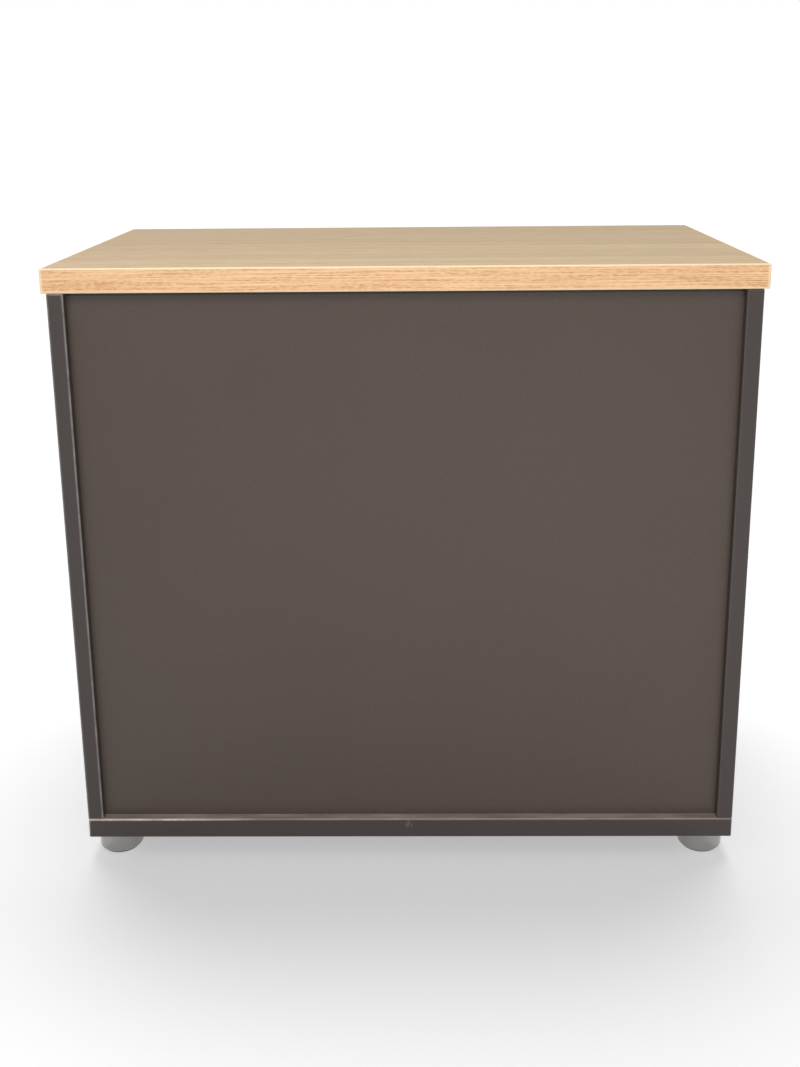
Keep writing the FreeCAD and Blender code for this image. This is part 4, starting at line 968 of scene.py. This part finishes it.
class SIDEBOARD_OT_slide_bolt(bpy.types.Operator):
    """Finish the slide bolt on the left door"""

    bl_idname = "sideboard.slide_bolt"
    bl_label = "Slide bolt"

    def execute(self, context):
        dress(zinc(), "bolt_guide")
        dress(steel(), "bolt_rod", "bolt_bush")
        sizes = details()
        radius = sizes.guide_screw_radius
        inset = GUIDE_INSET_RATIO * radius
        low, high = corners("bolt_guide")
        bm = bmesh.new()
        for across in (low.x + inset, high.x - inset):
            for height in (low.z + inset, high.z - inset):
                screw = cross_screw(radius, sizes.guide_screw_height, SHANK_SHARE * radius, high.y - low.y)
                stand(bm, screw, (across, high.y, height), REARWARD)
        finished_piece("bolt_guide_screws", bm, steel(), "door_left")
        return {"FINISHED"}


class SIDEBOARD_OT_feet(bpy.types.Operator):
    """Finish the levelling feet"""

    bl_idname = "sideboard.feet"
    bl_label = "Feet"

    def execute(self, context):
        silver = silver_finish()
        for foot in FEET:
            dress(silver, f"foot_{foot}")
            dress(dark_plastic(), f"foot_glide_{foot}")
            low, high = corners(f"foot_spindle_{foot}")
            radius = (high.x - low.x) / 2
            bm = bmesh.new()
            stand(bm, threaded_rod(radius, high.z - low.z), low + Vector((radius, radius, 0)), UP)
            thread = finished_piece(f"foot_thread_{foot}", bm, steel(), f"foot_{foot}")
            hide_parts(f"foot_spindle_{foot}")
        dress(steel(), "foot_inserts")
        dress(dark_plastic(), "foot_caps")
        return {"FINISHED"}


class SIDEBOARD_OT_joinery(bpy.types.Operator):
    """Finish the cams, bolts, dowels and shelf pins"""

    bl_idname = "sideboard.joinery"
    bl_label = "Joinery"

    def execute(self, context):
        dress(zinc(), "cam_housings")
        dress(steel(), "cam_bolts", "shelf_pins")
        dress(beech_finish(), "dowels")
        return {"FINISHED"}


def seen_directly(shader):
    """1 for rays from the camera and for those that a surface mirrors or lets through"""
    path = shader.add("ShaderNodeLightPath")
    seen = shader.math("MAXIMUM", path.outputs["Is Camera Ray"], path.outputs["Is Glossy Ray"])
    return shader.math("MAXIMUM", seen, path.outputs["Is Transmission Ray"])


def floor_finish(stage):
    """A white floor that shows the object's shadow softly and lights the object with a plain tint"""
    floor = Shader("pale_floor")
    floor.tree.nodes.remove(floor.surface)
    glow = floor.add("ShaderNodeEmission", {"Strength": stage.floor_glow})
    answer = floor.add("ShaderNodeBsdfDiffuse", {"Color": opaque([stage.floor_answer] * 3)})
    shown = floor.add("ShaderNodeAddShader", {0: glow.outputs[0], 1: answer.outputs[0]})
    bounce = floor.add("ShaderNodeBsdfDiffuse", {"Color": opaque(stage.floor_bounce)})
    both = floor.add("ShaderNodeMixShader", {0: seen_directly(floor), 1: bounce.outputs[0],
                                             2: shown.outputs[0]})
    output = next(node for node in floor.tree.nodes if node.type == "OUTPUT_MATERIAL")
    floor.tree.links.new(both.outputs[0], output.inputs["Surface"])
    return floor.material


class WorldShader(Shader):
    """The same ways of adding nodes, for the light from all round"""

    def __init__(self, name):
        self.material = bpy.data.worlds.new(name)
        self.material.use_nodes = True
        self.tree = self.material.node_tree
        self.surface = self.tree.nodes["Background"]


def lay_floor(stage):
    """A wide flat floor, which belongs to the stage"""
    bm = bmesh.new()
    bmesh.ops.create_grid(bm, x_segments=1, y_segments=1, size=stage.floor_half)
    mesh = bpy.data.meshes.new("floor")
    bm.to_mesh(mesh)
    bm.free()
    mesh.materials.append(floor_finish(stage))
    floor = new_object("floor", mesh)
    return floor


def light_sky(stage):
    """Even light from all round, with a white backdrop where it is seen directly"""
    sky = WorldShader("studio_sky")
    sky.surface.inputs["Color"].default_value = opaque(stage.sky)
    sky.surface.inputs["Strength"].default_value = stage.sky_strength
    white = sky.add("ShaderNodeBackground", {"Color": opaque((1, 1, 1)), "Strength": 1})
    both = sky.add("ShaderNodeMixShader", {0: seen_directly(sky), 1: sky.surface.outputs[0],
                                           2: white.outputs[0]})
    output = next(node for node in sky.tree.nodes if node.type == "OUTPUT_WORLD")
    sky.tree.links.new(both.outputs[0], output.inputs["Surface"])
    bpy.context.scene.world = sky.material


def spare_floor(holder, floor):
    """Keep a lamp's light off the floor, so that the object's shadow there stays"""
    spared = bpy.data.collections.new(f"spared_by_{holder.name}")
    spared.objects.link(floor)
    spared.collection_objects[0].light_linking.link_state = "EXCLUDE"
    holder.light_linking.receiver_collection = spared


def hang_lamp(name, strength, towards, softness):
    """A far soft lamp that shines along a direction"""
    lamp = bpy.data.lights.new(name, "SUN")
    lamp.energy = strength
    lamp.angle = softness
    holder = new_object(name, lamp)
    holder.rotation_mode = "QUATERNION"
    holder.rotation_quaternion = Vector(towards).to_track_quat("-Z", "Y")


def hang_panel(name, watts, size, where):
    """A rectangular lamp that is turned to the object's middle and isn't seen itself"""
    lamp = bpy.data.lights.new(name, "AREA")
    lamp.energy = watts
    lamp.shape = "RECTANGLE"
    lamp.size, lamp.size_y = size
    holder = new_object(name, lamp)
    holder.visible_camera = False
    holder.visible_glossy = False
    low, high = CAD_BOX
    aim = (Vector(low) + Vector(high)) / 2
    turn = (aim - Vector(where)).to_track_quat("-Z", "Y").to_matrix().to_4x4()
    holder.matrix_world = Matrix.Translation(where) @ turn
    return holder


def set_camera(stage):
    """Stand the camera where the photograph's frame shows the back"""
    camera = bpy.data.cameras.new("camera")
    long_side = max(PHOTO_WIDTH, PHOTO_HEIGHT)
    camera.lens = stage.focal_pixels * camera.sensor_width / long_side
    camera.shift_x = (PHOTO_WIDTH / 2 - stage.centre_pixel[0]) / long_side
    camera.shift_y = (stage.centre_pixel[1] - PHOTO_HEIGHT / 2) / long_side
    holder = new_object("camera", camera)
    turn = (Matrix.Rotation(stage.camera_heading, 4, "Z") @ Matrix.Rotation(stage.camera_tilt, 4, "X")
            @ Matrix.Rotation(stage.camera_roll, 4, "Z"))
    holder.matrix_world = Matrix.Translation(stage.camera_place) @ turn
    bpy.context.scene.camera = holder


class SIDEBOARD_OT_stage(bpy.types.Operator):
    """Lay the floor, set the soft light and stand the camera before the back"""

    bl_idname = "sideboard.stage"
    bl_label = "Stage"

    def execute(self, context):
        stage = context.scene.sideboard_stage
        floor = lay_floor(stage)
        light_sky(stage)
        hang_lamp("key_lamp_left", stage.key_strength, stage.key_left_way, stage.key_softness)
        hang_lamp("key_lamp_right", stage.key_strength, stage.key_right_way, stage.key_softness)
        hang_lamp("front_lamp", stage.front_strength, stage.front_way, stage.front_softness)
        spare_floor(hang_panel("back_lamp", stage.back_power, stage.back_size, stage.back_place), floor)
        spare_floor(hang_panel("fill_lamp", stage.fill_power, stage.fill_size, stage.fill_place), floor)
        set_camera(stage)
        context.scene.view_settings.view_transform = "Standard"
        return {"FINISHED"}


PIECES = (SIDEBOARD_OT_top, SIDEBOARD_OT_carcass, SIDEBOARD_OT_doors, SIDEBOARD_OT_handles,
          SIDEBOARD_OT_hinges, SIDEBOARD_OT_lock, SIDEBOARD_OT_slide_bolt, SIDEBOARD_OT_feet,
          SIDEBOARD_OT_joinery, SIDEBOARD_OT_stage)


class SIDEBOARD_PT_sidebar(bpy.types.Panel):
    """Lists the steps that dress the sideboard"""

    bl_idname = "SIDEBOARD_PT_sidebar"
    bl_label = "Sideboard"
    bl_space_type = "VIEW_3D"
    bl_region_type = "UI"
    bl_category = "Sideboard"

    def draw(self, context):
        for piece in PIECES:
            self.layout.operator(piece.bl_idname)


GROUPS = {
    "sideboard_finishes": SideboardFinishes,
    "sideboard_details": SideboardDetails,
    "sideboard_stage": SideboardStage,
}


def register():
    for cls in (*GROUPS.values(), *PIECES, SIDEBOARD_PT_sidebar):
        bpy.utils.register_class(cls)
    for name, group in GROUPS.items():
        setattr(bpy.types.Scene, name, PointerProperty(type=group))


def unregister():
    for name in GROUPS:
        delattr(bpy.types.Scene, name)
    for cls in reversed((*GROUPS.values(), *PIECES, SIDEBOARD_PT_sidebar)):
        bpy.utils.unregister_class(cls)


def main():
    register()
    bpy.ops.sideboard.top()
    bpy.ops.sideboard.carcass()
    bpy.ops.sideboard.doors()
    bpy.ops.sideboard.handles()
    bpy.ops.sideboard.hinges()
    bpy.ops.sideboard.lock()
    bpy.ops.sideboard.slide_bolt()
    bpy.ops.sideboard.feet()
    bpy.ops.sideboard.joinery()
    bpy.ops.sideboard.stage()


if __name__ == "__main__":
    main()
